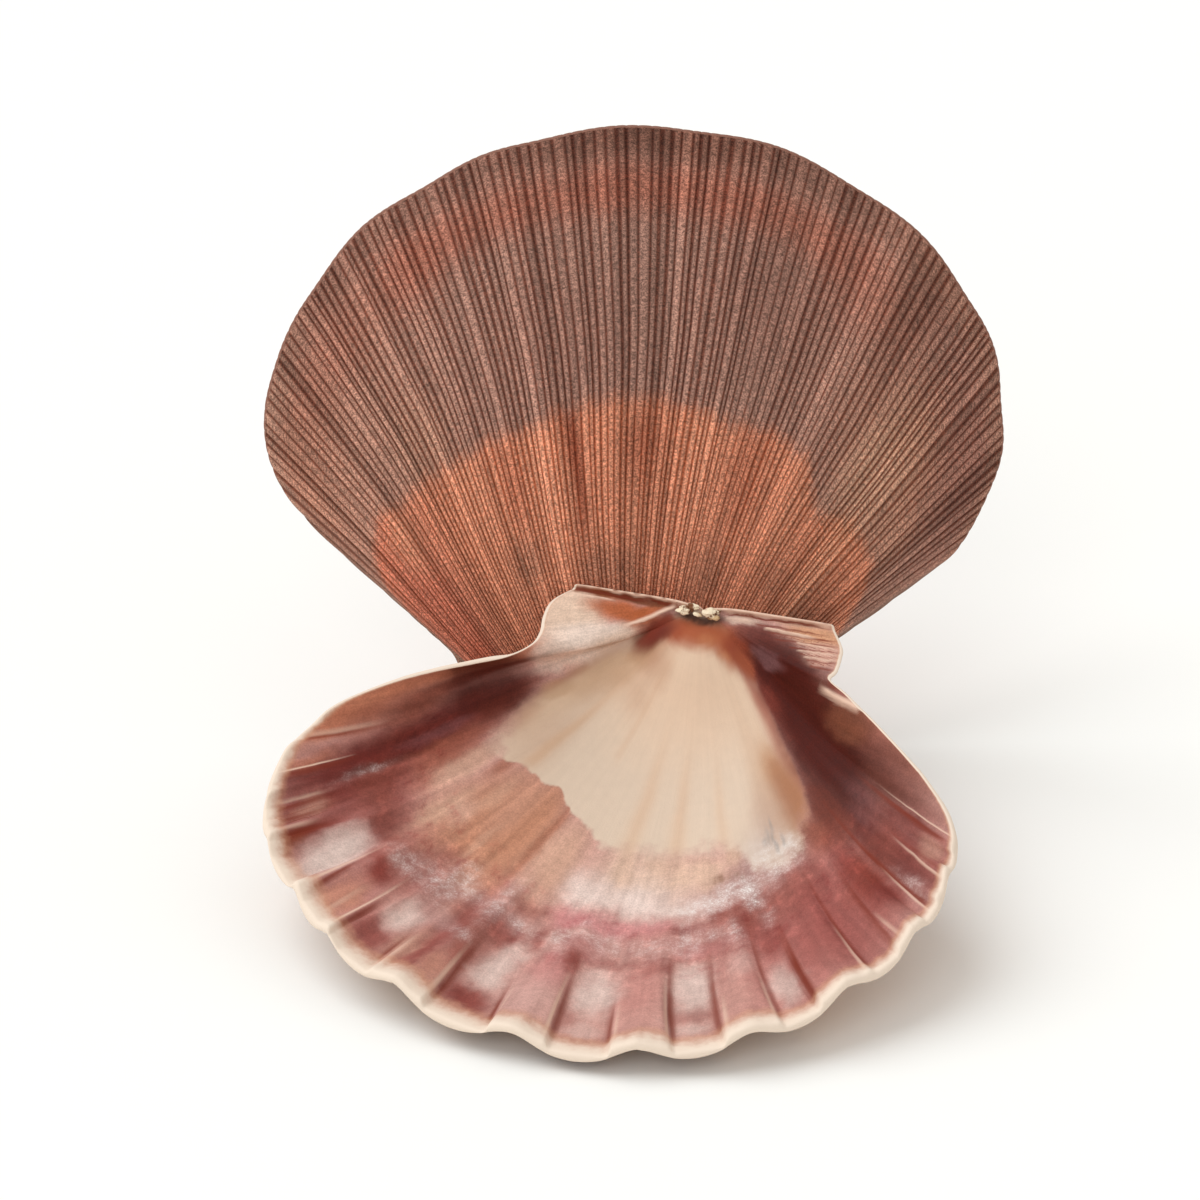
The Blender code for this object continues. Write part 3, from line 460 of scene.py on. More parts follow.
def columns(valve, line, shares, chance):
    """Run along the margin and running riblet number of each column; shares place those of one riblet."""
    run, angle = line["run"], line["angle"]
    places = np.stack([line["x"], line["y"]], axis=1)
    notch_left = run[np.argmin(np.linalg.norm(places - valve["ear_left"][-1], axis=1))]
    notch_right = run[np.argmin(np.linalg.norm(places - valve["ear_right"][0], axis=1))]
    first, last, count = valve["riblets"]
    steps = np.clip(chance.normal(1.0, 0.2, count), 0.55, 1.5)
    edges = first + (last - first) * np.concatenate([[0.0], np.cumsum(steps)]) / steps.sum()
    edge_run = np.interp(edges, angle, run)
    crowded = np.linspace(0.0, 1.0, EAR_COLUMNS + 1) ** 1.5
    at = list(notch_left * crowded[:-1])
    at += list(np.linspace(notch_left, edge_run[0], FLANK_COLUMNS, endpoint=False))
    for near, far in zip(edge_run[:-1], edge_run[1:]):
        at += [near + share * (far - near) for share in shares]
    at += list(np.linspace(edge_run[-1], notch_right, FLANK_COLUMNS, endpoint=False))
    at += list(run[-1] - (run[-1] - notch_right) * crowded[::-1])
    here = np.interp(at, run, angle)
    riblet = np.interp(here, edges, np.arange(count + 1.0))
    past = np.minimum(here - first, 0.0) + np.maximum(here - last, 0.0)
    return np.array(at), riblet + past * count / (last - first)


def bent(valve, line, at, growth):
    """Margin place and rib height that each column aims at, row by row, as the ribs turn on their way."""
    ends = np.interp([valve["fan"][0][0], valve["fan"][-1][0]], line["angle"], line["run"])
    fan = slice(*np.searchsorted(line["run"], ends))
    here = np.interp(at, line["run"], line["angle"])
    shift = valve["drift"](here, growth) * ease(55.0, 43.0, np.abs(here))
    turned = np.interp(here - shift, line["angle"][fan], line["run"][fan])
    straight = np.interp(here, line["angle"][fan], line["run"][fan])
    run = at + turned - straight
    return [np.interp(run, line["run"], line[part]) for part in ("x", "y", "wave")]


def growth_surface(x, y, wave, waves, size, curl, strength=1.0):
    """Growth lines shrinking to the beak while they turn out of the hinge plane."""
    stretch = 1.0 + waves[0] * wave * strength / np.maximum(np.hypot(x, y), 1.0)
    rib = waves[1] * wave * strength
    sine, cosine = np.sin(curl), np.cos(curl)
    return np.stack([size * x * stretch,
                     size * (y * stretch * cosine - rib * sine),
                     size * (y * stretch * sine + rib * cosine)], axis=-1)


def outward(surface):
    """Unit normals of a grid of points, softened along the growth lines, kept off the hinge edge."""
    normal = unit(np.cross(np.gradient(surface, axis=0), np.gradient(surface, axis=1)))
    normal *= np.sign(np.median(normal[-4:, :, 2]))
    for _ in range(2):
        side = np.concatenate([normal[:, :1], normal, normal[:, -1:]], axis=1)
        normal = unit(side[:, :-2] + side[:, 1:-1] + side[:, 2:])
    normal[:, [0, -1]] = (0.0, 0.0, 1.0)
    return normal


def channel_relief(angle, growth, channels):
    """How deep the flat channels of the lying valve's inside lie, with a slight lip along their sides."""
    depth = np.zeros_like(angle)
    side = 0.28 + 2.0 * ease(0.98, 0.55, growth)
    for left, right, share in channels:
        inside = ease(left - side, left + side, angle) * ease(right + side, right - side, angle)
        lip = bell(angle - left + 0.7, 0.55) + bell(angle - right - 0.7, 0.55)
        depth = depth + share * (inside - 0.22 * lip * ease(0.72, 0.9, growth))
    return depth * ease(0.5, 0.97, growth)


def lag(angle, sweep):
    """Degrees that a rib still turns on its way to the margin, per unit of growth still to go."""
    left, right = sweep
    return left + (right - left) * ease(0.0, 45.0, angle)


def swept(angle, growth, sweep):
    """Fan angle at which a rib that passes here meets the margin."""
    return angle + lag(angle, sweep) * (1.0 - growth)


def lying_drift(angle, growth):
    """Degrees by which the lying valve's ribs lag behind the fan angle where they meet the margin."""
    return lag(angle, LYING["sweep"]) * np.minimum(1.0 - growth, 0.65)


def standing_drift(angle, growth):
    """The same for the standing valve: a lean below its middle and a slight wander all over."""
    lean = np.interp(angle, [-45.0, -8.0, 3.0, 12.0, 26.0, 36.0, 44.0, 52.0],
                     [2.2, 2.0, 1.2, 0.8, 1.0, 2.4, 2.0, 0.6])
    return lean * ease(0.72, 0.35, growth) + 0.1 * soft_noise(angle / 6.0, growth * 6.0, 20)


def outer_sheet(valve, line, at, riblet, size, riblet_depth, chance):
    """Outside with its riblets, the same surface without ribs or wall, and where its columns aim."""
    curl = valve["growth"] * np.log(1.0 / size)
    x, y, wave = bent(valve, line, at, size)
    plain = growth_surface(x, y, wave, (0.0, 0.0), size, curl)
    facing = outward(plain)
    here = np.interp(at, line["run"], line["angle"])
    full = THIN_FLANK + (1.0 - THIN_FLANK) * ease(60.0, 50.0, np.abs(here))
    wall = full * (WALL_MARGIN + (WALL_BEAK - WALL_MARGIN) * (1.0 - size) ** 0.7)
    tall = chance.uniform(0.6, 1.0, RIBLET_HEIGHTS)[np.floor(riblet).astype(int) % RIBLET_HEIGHTS]
    hollow = (1.0 - np.sin(np.pi * (riblet - np.floor(riblet))) ** 0.5) * tall
    ribbed = ease(0.0, 0.6, size) * ease(valve["riblets_end"] + 0.08, valve["riblets_end"], size)
    points = growth_surface(x, y, wave, valve["waves"], size, curl)
    points += (wall - riblet_depth * hollow * ribbed)[:, :, None] * facing
    points[:, :, 1] = np.maximum(points[:, :, 1], 0.0)
    return points, plain, x, y


def inner_sheet(valve, line, at, size, channels):
    """Inside, filled up at the hinge, and where its columns aim. Only the valve with channels shows it."""
    curl = valve["growth"] * np.log(1.0 / size) * (1.0 - np.exp(-(size / HINGE_FILL) ** 1.5))
    x, y, wave = bent(valve, line, at, size)
    depth = channel_relief(swept(fan_angle(x, y), size, valve["sweep"]), size, channels)
    plateau = np.clip(wave, -1.0, 0.15) if channels else wave
    points = growth_surface(x, y, plateau, valve["waves"], size, curl, ease(0.35, 0.95, size))
    points[:, :, 2] += PIT_DEPTH * bell(points[:, :, 0], 3.4) * bell(points[:, :, 1] - 1.6, 2.2)
    if channels:
        plan = (size * x, size * y)
        points[:, :, 2] -= HINGE_LIP * bell(plan[1], 0.25) * ease(0.0, 0.03, size)
        relief = drawn(strokes(*plan, HINGE_SHADE_STROKES)) - 1.4 * drawn(strokes(*plan, HINGE_HIGHLIGHT_STROKES))
        depth = depth + HINGE_RELIEF * relief
    return points + depth[:, :, None] * outward(points), x, y


def valve_sheets(valve, outer_rows, inner_rows, shares, riblet_depth, channels, seed):
    """Outside, rim and inside of a valve as one grid of points, with the place of each on the valve."""
    chance = np.random.default_rng(seed)
    line = margin_line(valve)
    at, riblet = columns(valve, line, shares, chance)
    reach = np.hypot(*[np.interp(at, line["run"], line[part]) for part in ("x", "y")])
    last = 1.0 - RIM_DEPTH / reach
    size = BEAK + (last - BEAK) * np.linspace(0.0, 1.0, outer_rows)[:, None]
    small = INNER_BEAK + (last - INNER_BEAK) * np.linspace(0.0, 1.0, inner_rows)[:, None]
    outer, plain, *outer_aim = outer_sheet(valve, line, at, riblet, size, riblet_depth, chance)
    inner, *inner_aim = inner_sheet(valve, line, at, small, channels)

    middle = (outer[-1] + inner[-1]) / 2.0
    half = (outer[-1] - inner[-1]) / 2.0
    turn = np.pi * np.arange(1, RIM_ROWS + 1)[:, None, None] / (RIM_ROWS + 1)
    rim = middle + np.cos(turn) * half + np.sin(turn) * RIM_DEPTH * unit(plain[-1] - plain[-2])

    growth = np.concatenate([size, np.ones((RIM_ROWS, len(at))), small[::-1]])
    x, y = [np.concatenate([one, np.repeat(one[-1:], RIM_ROWS, axis=0), other[::-1]])
            for one, other in zip(outer_aim, inner_aim)]
    return {"points": np.concatenate([outer, rim, inner[::-1]]), "growth": growth,
            "angle": swept(fan_angle(x, y), growth, valve["sweep"]),
            "plan": np.stack([growth * x, growth * y], axis=-1),
            "riblet": np.broadcast_to(riblet, growth.shape), "outer_rows": outer_rows}


def zip_chains(one, other):
    """Triangles between two chains of vertex numbers with different counts."""
    faces = []
    i = j = 0
    while i < len(one) - 1 or j < len(other) - 1:
        ahead = (i + 1) * (len(other) - 1) <= (j + 1) * (len(one) - 1)
        if j == len(other) - 1 or (ahead and i < len(one) - 1):
            faces.append((one[i], one[i + 1], other[j]))
            i += 1
        else:
            faces.append((one[i], other[j + 1], other[j]))
            j += 1
    return faces


def grid_faces(rows, columns, outer_rows):
    """Faces of the closed sheet: the grid with the strip at the beak, and the two hinge edges."""
    at = np.arange(rows * columns).reshape(rows, columns)
    after = np.roll(at, -1, axis=0)
    quads = np.stack([at[:, :-1], at[:, 1:], after[:, 1:], after[:, :-1]], axis=-1).reshape(-1, 4).tolist()
    left = zip_chains(at[:outer_rows, 0].tolist(), at[outer_rows:, 0][::-1].tolist())
    right = zip_chains(at[outer_rows:, -1][::-1].tolist(), at[:outer_rows, -1].tolist())
    return quads + left + right


# ---- meshes
def placed(points, valve):
    """Working frame to the floor frame; whatever would sink into the floor is worn flat."""
    axes = (Matrix.Rotation(np.radians(valve["turn"]), 3, "Z")
            @ Matrix.Rotation(np.radians(valve["roll"]), 3, "Y")
            @ Matrix.Rotation(np.radians(valve["tilt"]), 3, "X"))
    out = points.reshape(-1, 3) @ np.array(axes).T + np.array(valve["place"])
    out[:, 2] = np.maximum(out[:, 2], 0.0)
    out[:, :2] -= MIDDLE
    return out


def add_object(name, data):
    thing = bpy.data.objects.new(name, data)
    bpy.context.scene.collection.objects.link(thing)
    return thing


def add_mesh(name, points, faces, materials, smooth_angle=60.0):
    mesh = bpy.data.meshes.new(name)
    mesh.from_pydata((points * MM).tolist(), [], faces)
    mesh.shade_smooth()
    mesh.set_sharp_from_angle(angle=np.radians(smooth_angle))
    for material in materials:
        mesh.materials.append(material)
    return add_object(name, mesh)


def add_attribute(mesh, name, values):
    """Numbers, vectors or, where the name says wash, linear colours of the vertices."""
    values = np.asarray(values, np.float32)
    kind, part = ("FLOAT", "value") if values.ndim == 2 else ("FLOAT_VECTOR", "vector")
    if name.endswith("wash"):
        kind, part = "FLOAT_COLOR", "color"
        values = np.concatenate([values, np.ones_like(values[..., :1])], axis=-1)
    mesh.attributes.new(name, kind, "POINT").data.foreach_set(part, values.ravel())


def add_valve(name, sheets, valve, outside, inside, outside_paint, inside_paint):
    """Closed mesh of a valve, with its colours and places as attributes."""
    angle, growth, outer_rows = sheets["angle"], sheets["growth"], sheets["outer_rows"]
    faces = grid_faces(*growth.shape, outer_rows)
    piece = add_mesh(name, placed(sheets["points"], valve), faces, [outside, inside])
    index = np.ones(len(faces), np.int32)
    index[:(outer_rows - 1) * (growth.shape[1] - 1)] = 0
    piece.data.polygons.foreach_set("material_index", index)
    add_attribute(piece.data, "fan", np.stack([angle, growth, sheets["riblet"]], axis=-1))
    for part, values in inside_paint.items():
        if part in outside_paint:
            values = np.concatenate([outside_paint[part][:outer_rows], values[outer_rows:]])
        add_attribute(piece.data, part, values)
    first, last, _ = valve["riblets"]
    ribbed = ease(first - 1.5, first + 1.0, angle) * ease(last + 1.5, last - 1.0, angle)
    add_attribute(piece.data, "ribbed", ribbed * ease(0.02, 0.15, growth))
    return piece


def add_bake_map(mesh, sheets, main):
    """Flat layout of the two sides for baking: the plan of the main side below, the other one above it."""
    outer_rows = sheets["outer_rows"]
    rim_end = outer_rows + RIM_ROWS
    corner = np.empty(len(mesh.loops), np.int32)
    mesh.loops.foreach_get("vertex_index", corner)
    starts = np.empty(len(mesh.polygons), np.int32)
    mesh.polygons.foreach_get("loop_start", starts)
    row = corner // sheets["growth"].shape[1]
    inner = np.minimum.reduceat(row, starts) >= rim_end
    inner = np.repeat(inner, np.diff(np.append(starts, len(corner))))
    spread = 1.0 + MAP_RIM_STEP * np.maximum(row - outer_rows + 1, 0)
    stretch = np.where(inner | (row > rim_end), 1.0, spread)
    plan = sheets["plan"].reshape(-1, 2)[corner] * stretch[:, None]
    plan[~inner & (row > rim_end), 1] = MAP_SEAM
    span = sheets["plan"][..., 1].max() * 1.06 - MAP_SEAM
    big = inner if main == "inside" else ~inner
    middle, base, size = [np.where(big, *pair) for pair in zip(MAP_MAIN, MAP_OTHER)]
    scale = size / span
    place = np.stack([middle + plan[:, 0] * scale, base + (plan[:, 1] - MAP_SEAM) * scale], axis=-1)
    mesh.uv_layers.new(name="OFBake").data.foreach_set("uv", place.astype(np.float32).ravel())


# ---- painting: colours and masks worked out at each point of a valve, with growth in percent
def srgb(code):
    """Linear colour of a hex code."""
    value = np.array([int(code[i:i + 2], 16) for i in (0, 2, 4)]) / 255.0
    return np.where(value < 0.04045, value / 12.92, ((value + 0.055) / 1.055) ** 2.4)


def patches(u, v, rows, sharpness):
    """Mask of soft ellipses (u, v, half width, half length, strength, turn in degrees if any)."""
    bare = np.ones_like(u)
    for at_u, at_v, wide, long, strength, *turn in rows:
        sine, cosine = np.sin(np.radians(sum(turn))), np.cos(np.radians(sum(turn)))
        along = (u - at_u) * cosine + (v - at_v) * sine
        across = (v - at_v) * cosine - (u - at_u) * sine
        away = np.hypot(along / wide, across / long)
        bare = bare * (1.0 - strength / 100.0 * np.exp(-0.7 * away ** sharpness))
    return 1.0 - bare


def nearest_mark(marks, like):
    """Strength of the nearest of several marks, and how many half widths away it is."""
    strength = np.zeros_like(like)
    away = np.full_like(like, NO_MARK)
    for share, aside in marks:
        nearest = (np.abs(aside) < np.abs(away)) & (share > 0.0)
        strength = np.where(nearest, share, strength)
        away = np.where(nearest, aside, away)
    return strength * ease(3.2, 2.3, np.abs(away)), away


def lines(angle, growth, rows):
    """Nearest of the radial lines, each fading in on its way out."""
    marks = []
    for inner, start, outer, end, wide, strength in rows:
        along = (growth - start) / (end - start)
        fade = strength / 100.0 * ease(-0.1, 0.6, along) * ease(1.1, 0.97, along)
        marks.append((fade, (angle - inner - (outer - inner) * along) / wide))
    return nearest_mark(marks, angle)


def strokes(x, y, rows):
    """Nearest of the straight strokes between two places, each fading towards the second."""
    marks = []
    for x0, y0, x1, y1, wide, strength in rows:
        length = np.hypot(x1 - x0, y1 - y0)
        along = ((x - x0) * (x1 - x0) + (y - y0) * (y1 - y0)) / length ** 2
        fade = strength / 100.0 * ease(-0.05, 0.06, along) * ease(1.08, 0.75, along)
        marks.append((fade, ((y - y0) * (x1 - x0) - (x - x0) * (y1 - y0)) / length / wide))
    return nearest_mark(marks, x)


def nearer(one, other):
    """Whichever of two sets of marks lies closer."""
    first = np.abs(one[1]) < np.abs(other[1])
    return [np.where(first, *parts) for parts in zip(one, other)]


def drawn(marks):
    """Mask of the marks themselves."""
    strength, away = marks
    return strength * bell(away)


def coat(pigment, like):
    return np.broadcast_to(srgb(pigment), like.shape + (3,))


def lay(colour, pigment, mask):
    """Colour after a coat of pigment where the mask says."""
    return colour + (srgb(pigment) - colour) * mask[..., None]


def lay_all(colour, u, v, coats, sharpness=2.6):
    for pigment, *rows in coats:
        colour = lay(colour, pigment, patches(u, v, rows, sharpness))
    return colour


def warm_heart(growth):
    return lay(coat(CREAM, growth), WARM_CREAM, ease(36.0, 15.0, growth))


def edge_at(angle, edge):
    return np.interp(angle, [at for at, _ in edge], [growth for _, growth in edge])


def heart_share(angle, growth, edge, blend):
    return np.clip((edge_at(angle, edge) - growth) / blend, -4.0, 4.0)


def lip_share(sheets):
    """0 at the inner side of the pale lip, 1 on the rounded edge itself."""
    width = 1.25 * edge_at(sheets["angle"], LIP_WIDTH) / 100.0
    return np.clip((sheets["growth"] - 1.0 + width) / width, -1.6, 1.0)


def paint_lying_inside(sheets):
    x, y = sheets["plan"][..., 0], sheets["plan"][..., 1]
    grown = sheets["growth"]
    angle = sheets["angle"] + 0.5 * soft_noise(x / 5.0, y / 5.0, 1) * ease(0.1, 0.5, grown)
    angle = angle + 0.35 * soft_noise(x / 1.3, y / 1.3, 14) * ease(0.3, 0.6, grown)
    growth = 100.0 * grown + 0.8 * soft_noise(x / 4.0, y / 4.0, 2) + 0.6 * soft_noise(x / 1.3, y / 1.3, 15)
    plate_x = x + 0.6 * soft_noise(x / 3.0, y / 3.0, 3) + 0.15 * soft_noise(x, y, 16)
    plate_y = y + 0.4 * soft_noise(x / 3.0, y / 3.0, 4) + 0.15 * soft_noise(x, y, 17)
    field = lay_all(coat(ROSE, x), angle, growth, LYING_PATCHES, 3.4)
    heart = lay(warm_heart(growth), TAN_STREAK, drawn(lines(angle, growth, HEART_STREAKS)))
    heart = lay_all(heart, angle, growth, HEART_PATCHES)
    wobble = 0.15 * soft_noise(x / 2.0, y / 2.0, 13)
    # dark: the channels' dark lines, and painted shade on the hinge plate; light: painted highlights on the
    # ridges and the hinge plate
    dark = nearer(lines(sheets["angle"], growth, LYING_DARK_LINES), strokes(x, y + wobble, HINGE_SHADE_STROKES))
    light = nearer(lines(sheets["angle"], growth, LYING_HIGHLIGHT_LINES), strokes(x, y + wobble, HINGE_HIGHLIGHT_STROKES))
    return {
        "wash": lay_all(field, plate_x, plate_y, HINGE_PATCHES, 4.5),
        "heart_wash": lay_all(heart, plate_x, plate_y, HINGE_PATCHES, 4.5),
        "heart": heart_share(angle, growth, HEART_EDGE, edge_at(angle, HEART_BLEND)),
        "lip": lip_share(sheets),
        "marks": np.stack([dark[0], light[0], patches(angle, growth, LYING_CLOUDS, 2.0)], axis=-1),
        "aside": np.stack([dark[1], light[1], np.zeros_like(x)], axis=-1),
    }


def paint_standing_inside(sheets):
    """The side that faces away: a cream heart, a rosy field and a brown border."""
    x, y = sheets["plan"][..., 0], sheets["plan"][..., 1]
    angle = sheets["angle"] + 1.2 * soft_noise(x / 6.0, y / 6.0, 5)
    growth = 100.0 * sheets["growth"] + 1.4 * soft_noise(x / 5.0, y / 5.0, 6)
    field = lay_all(coat(ROSE, x), angle, growth, STANDING_INSIDE_PATCHES)
    streak = 0.5 * ease(0.2, 0.8, soft_noise(angle / 5.0, growth * 0.015, 7))
    heart = lay(warm_heart(growth), TAN_STREAK, streak)
    dark = 0.4 * ease(0.35, 0.7, soft_noise(angle / 1.3, growth * 0.02, 8)) * ease(60.0, 80.0, growth)
    light = 0.4 * ease(0.4, 0.7, soft_noise(angle / 0.9, growth * 0.02, 9)) * ease(70.0, 90.0, growth)
    cloud = (ease(0.2, 0.9, soft_noise(angle / 4.0, growth * 0.22, 10)) * ease(56.0, 62.0, growth)
             * ease(78.0, 70.0, growth))
    return {
        "wash": lay_all(field, x, y, STANDING_HINGE_PATCHES),
        "heart_wash": lay_all(heart, x, y, STANDING_HINGE_PATCHES),
        "heart": heart_share(angle, growth, STANDING_HEART_EDGE, 1.5),
        "lip": lip_share(sheets),
        "marks": np.stack([dark, light, cloud], axis=-1),
        "aside": np.zeros(x.shape + (3,)),
    }


def paint_outside(sheets, edge, high_coats, low_coats, folds=()):
    """Grey-brown field below a dark border, over an orange fan; the heart's share says where the fan is."""
    x, y = sheets["plan"][..., 0], sheets["plan"][..., 1]
    angle = sheets["angle"] + 0.6 * soft_noise(x / 5.0, y / 5.0, 11)
    growth = 100.0 * sheets["growth"] + 0.4 * soft_noise(x / 2.5, y / 2.5, 12)
    field = lay_all(coat(FIELD_BROWN, x), angle, growth, high_coats)
    border = ease(93.0, 97.5, growth)
    field = lay(field, BORDER_BROWN, border * (0.5 + 0.4 * bell(angle - 3.0, 12.0)))
    tan_sides = np.maximum(ease(32.0, 44.0, -angle), 0.5 * ease(20.0, 42.0, angle))
    field = lay(field, SIDE_TAN, border * tan_sides)
    low = lay_all(coat(ORANGE, x), angle, growth, low_coats)
    rough = 0.6 * soft_noise(sheets["riblet"] * 0.9, growth * 0.08, 18)
    orange = ease(-1.6, 1.6, edge_at(angle, edge) + rough - growth)
    wash = field + (low - field) * orange[..., None]
    for middle, wide, strength in folds:
        wash = wash * (1.0 - strength / 100.0 * bell(angle - middle, wide))[..., None]
    flanks = ease(-49.5, -53.0, angle) + ease(58.5, 62.0, angle)
    return {"wash": lay(wash * RIDGE_SHARE, FLANK_GREY, flanks), "heart": orange}


# ---- dried ligament
def crumb(centre, size, lumps, chance):
    """Flaky lump as points and faces: a ball with ledges, seen as stacked flakes."""
    around, up = 40, 22
    turn = 2.0 * np.pi * np.arange(around)[None, :] / around
    rise = np.pi * (np.arange(1, up)[:, None]) / up
    ball = np.stack([np.sin(rise) * np.cos(turn), np.sin(rise) * np.sin(turn), np.cos(rise) + 0.0 * turn],
                    axis=-1)
    seed = int(chance.integers(1000))
    height = soft_noise(ball[..., 0] * lumps + 5.0, (ball[..., 1] + ball[..., 2] * 1.7) * lumps, seed)
    ledge = np.floor(height * 4.0 + ball[..., 2] * 3.0) / 4.0
    ball *= (0.92 + 0.14 * height + 0.16 * ledge)[..., None]
    points = np.concatenate([ball.reshape(-1, 3), [[0.0, 0.0, 1.0], [0.0, 0.0, -1.0]]])
    at = np.arange((up - 1) * around).reshape(up - 1, around)
    after = np.roll(at, -1, axis=1)
    faces = np.stack([at[:-1], at[1:], after[1:], after[:-1]], axis=-1).reshape(-1, 4).tolist()
    top, bottom = len(points) - 2, len(points) - 1
    faces += [(top, a, b) for a, b in zip(at[0].tolist(), after[0].tolist())]
    faces += [(bottom, b, a) for a, b in zip(at[-1].tolist(), after[-1].tolist())]
    return points * size + centre, faces


def ligament(chance):
    """Cream crumbs on both sides of a dark gap, and a scatter of grains."""
    crumbs = [crumb(centre, size, 0.9, chance) for centre, size in LIGAMENT_CRUMBS]
    for _ in range(LIGAMENT_GRAINS):
        side = chance.choice((-1.0, 1.0))
        centre = (side * chance.uniform(0.4, 3.6), chance.uniform(0.3, 2.4), chance.uniform(-0.35, 0.0))
        crumbs.append(crumb(centre, chance.uniform(0.18, 0.42, 3), 1.0, chance))
    points, faces = [], []
    for more, shape in crumbs:
        start = sum(map(len, points))
        points.append(more)
        faces += [tuple(start + corner for corner in face) for face in shape]
    return np.concatenate(points), faces


# ---- materials
class Shade:
    """A material under construction: each call adds a node and hands back the socket of its result."""

    def __init__(self, name):
        self.material = bpy.data.materials.new(name)
        self.material.use_nodes = True
        self.tree = self.material.node_tree
        self.surface = self.tree.nodes["Principled BSDF"].inputs

    def add(self, kind, values=(), output=0, **settings):
        node = self.tree.nodes.new(kind)
        for key, value in settings.items():
            setattr(node, key, value)
        for key, value in dict(values).items():
            self.put(node.inputs[key], value)
        return node.outputs[output]

    def put(self, socket, value):
        if isinstance(value, bpy.types.NodeSocket):
            self.tree.links.new(value, socket)
        else:
            socket.default_value = value

    def attribute(self, name, output="Vector"):
        return self.add("ShaderNodeAttribute", output=output, attribute_name=name)

    def parts(self, vector):
        return list(self.add("ShaderNodeSeparateXYZ", {0: vector}).node.outputs)

    def math(self, operation, first, second=0.0, third=0.0):
        return self.add("ShaderNodeMath", {0: first, 1: second, 2: third}, operation=operation)

    def times(self, *values):
        product, *others = values
        for other in others:
            product = self.math("MULTIPLY", product, other)
        return product

    def shifted(self, value, noise, reach):
        """Value moved up and down with the noise."""
        return self.math("MULTIPLY_ADD", self.math("SUBTRACT", noise, 0.5), reach, value)

    def ease(self, low, high, value):
        return self.add("ShaderNodeMapRange", {"Value": value, "From Min": low, "From Max": high},
                        interpolation_type="SMOOTHSTEP")

    def stretched(self, vector, factors):
        return self.add("ShaderNodeVectorMath", {0: vector, 1: factors}, operation="MULTIPLY")

    def scaled(self, colour, factor):
        return self.add("ShaderNodeVectorMath", {0: colour, "Scale": factor}, operation="SCALE")

    def varied(self, colour, noise, reach, low=None):
        """Colour made lighter and darker with the noise, which is steepened between low and 1 - low."""
        if low is not None:
            noise = self.ease(low, 1.0 - low, noise)
        return self.scaled(colour, self.math("MULTIPLY_ADD", noise, 2.0 * reach, 1.0 - reach))

    def mix(self, share, base, colour):
        return self.add("ShaderNodeMix", {0: share, 6: base, 7: colour}, 2, data_type="RGBA")

    def noise(self, place, scale, detail=2.0, roughness=0.5):
        """Noise with one scale, or with one for each part of the place."""
        if isinstance(scale, tuple):
            place, scale = self.stretched(place, scale), 1.0
        values = {"Vector": place, "Scale": scale, "Detail": detail, "Roughness": roughness}
        return self.add("ShaderNodeTexNoise", values)

    def mark(self, strength, aside, reach, ragged):
        """Mask of a mark from its strength and the distance to its middle: soft ahead and crisp behind."""
        away = self.math("MAXIMUM", aside, self.times(aside, -1.9))
        return self.times(strength, self.ease(reach, 0.0, self.shifted(away, ragged, 1.2)))

    def bump(self, height, distance, under=None):
        values = {"Height": height, "Distance": distance, "Strength": 1.0}
        if under is not None:
            values["Normal"] = under
        return self.add("ShaderNodeBump", values)

    def finish(self, colour, roughness, normal, gloss=0.5):
        values = {"Base Color": colour, "Roughness": roughness, "Normal": normal,
                  "Specular IOR Level": gloss}
        for socket, value in values.items():
            self.put(self.surface[socket], value)
        return self.material


def tint(code):
    return (*srgb(code), 1.0)


def banded_field(shade, fan, streak, hair, mottle, grain):
    """Washes of the inside's field, with light and dark bands of growth across its middle."""
    angle, growth, _ = shade.parts(fan)
    bands = shade.noise(fan, (0.35, 26.0, 0.0), 4.0, 0.65)
    field = shade.varied(shade.attribute("wash", "Color"), streak, 0.1, 0.25)
    for noise, reach in ((hair, 0.02), (mottle, 0.07), (grain, 0.11)):
        field = shade.varied(field, noise, reach, 0.3)
    zone = shade.times(shade.ease(0.56, 0.63, growth), shade.ease(0.84, 0.72, growth),
                       shade.ease(56.0, 48.0, shade.math("ABSOLUTE", angle)))
    light_bands = shade.times(zone, shade.ease(0.5, 0.75, bands))
    field = shade.mix(light_bands, field, shade.scaled(field, LIGHT_BAND))
    dark_bands = shade.times(zone, shade.ease(0.5, 0.25, bands))
    return shade.mix(dark_bands, field, shade.stretched(field, BAND_SHARE))


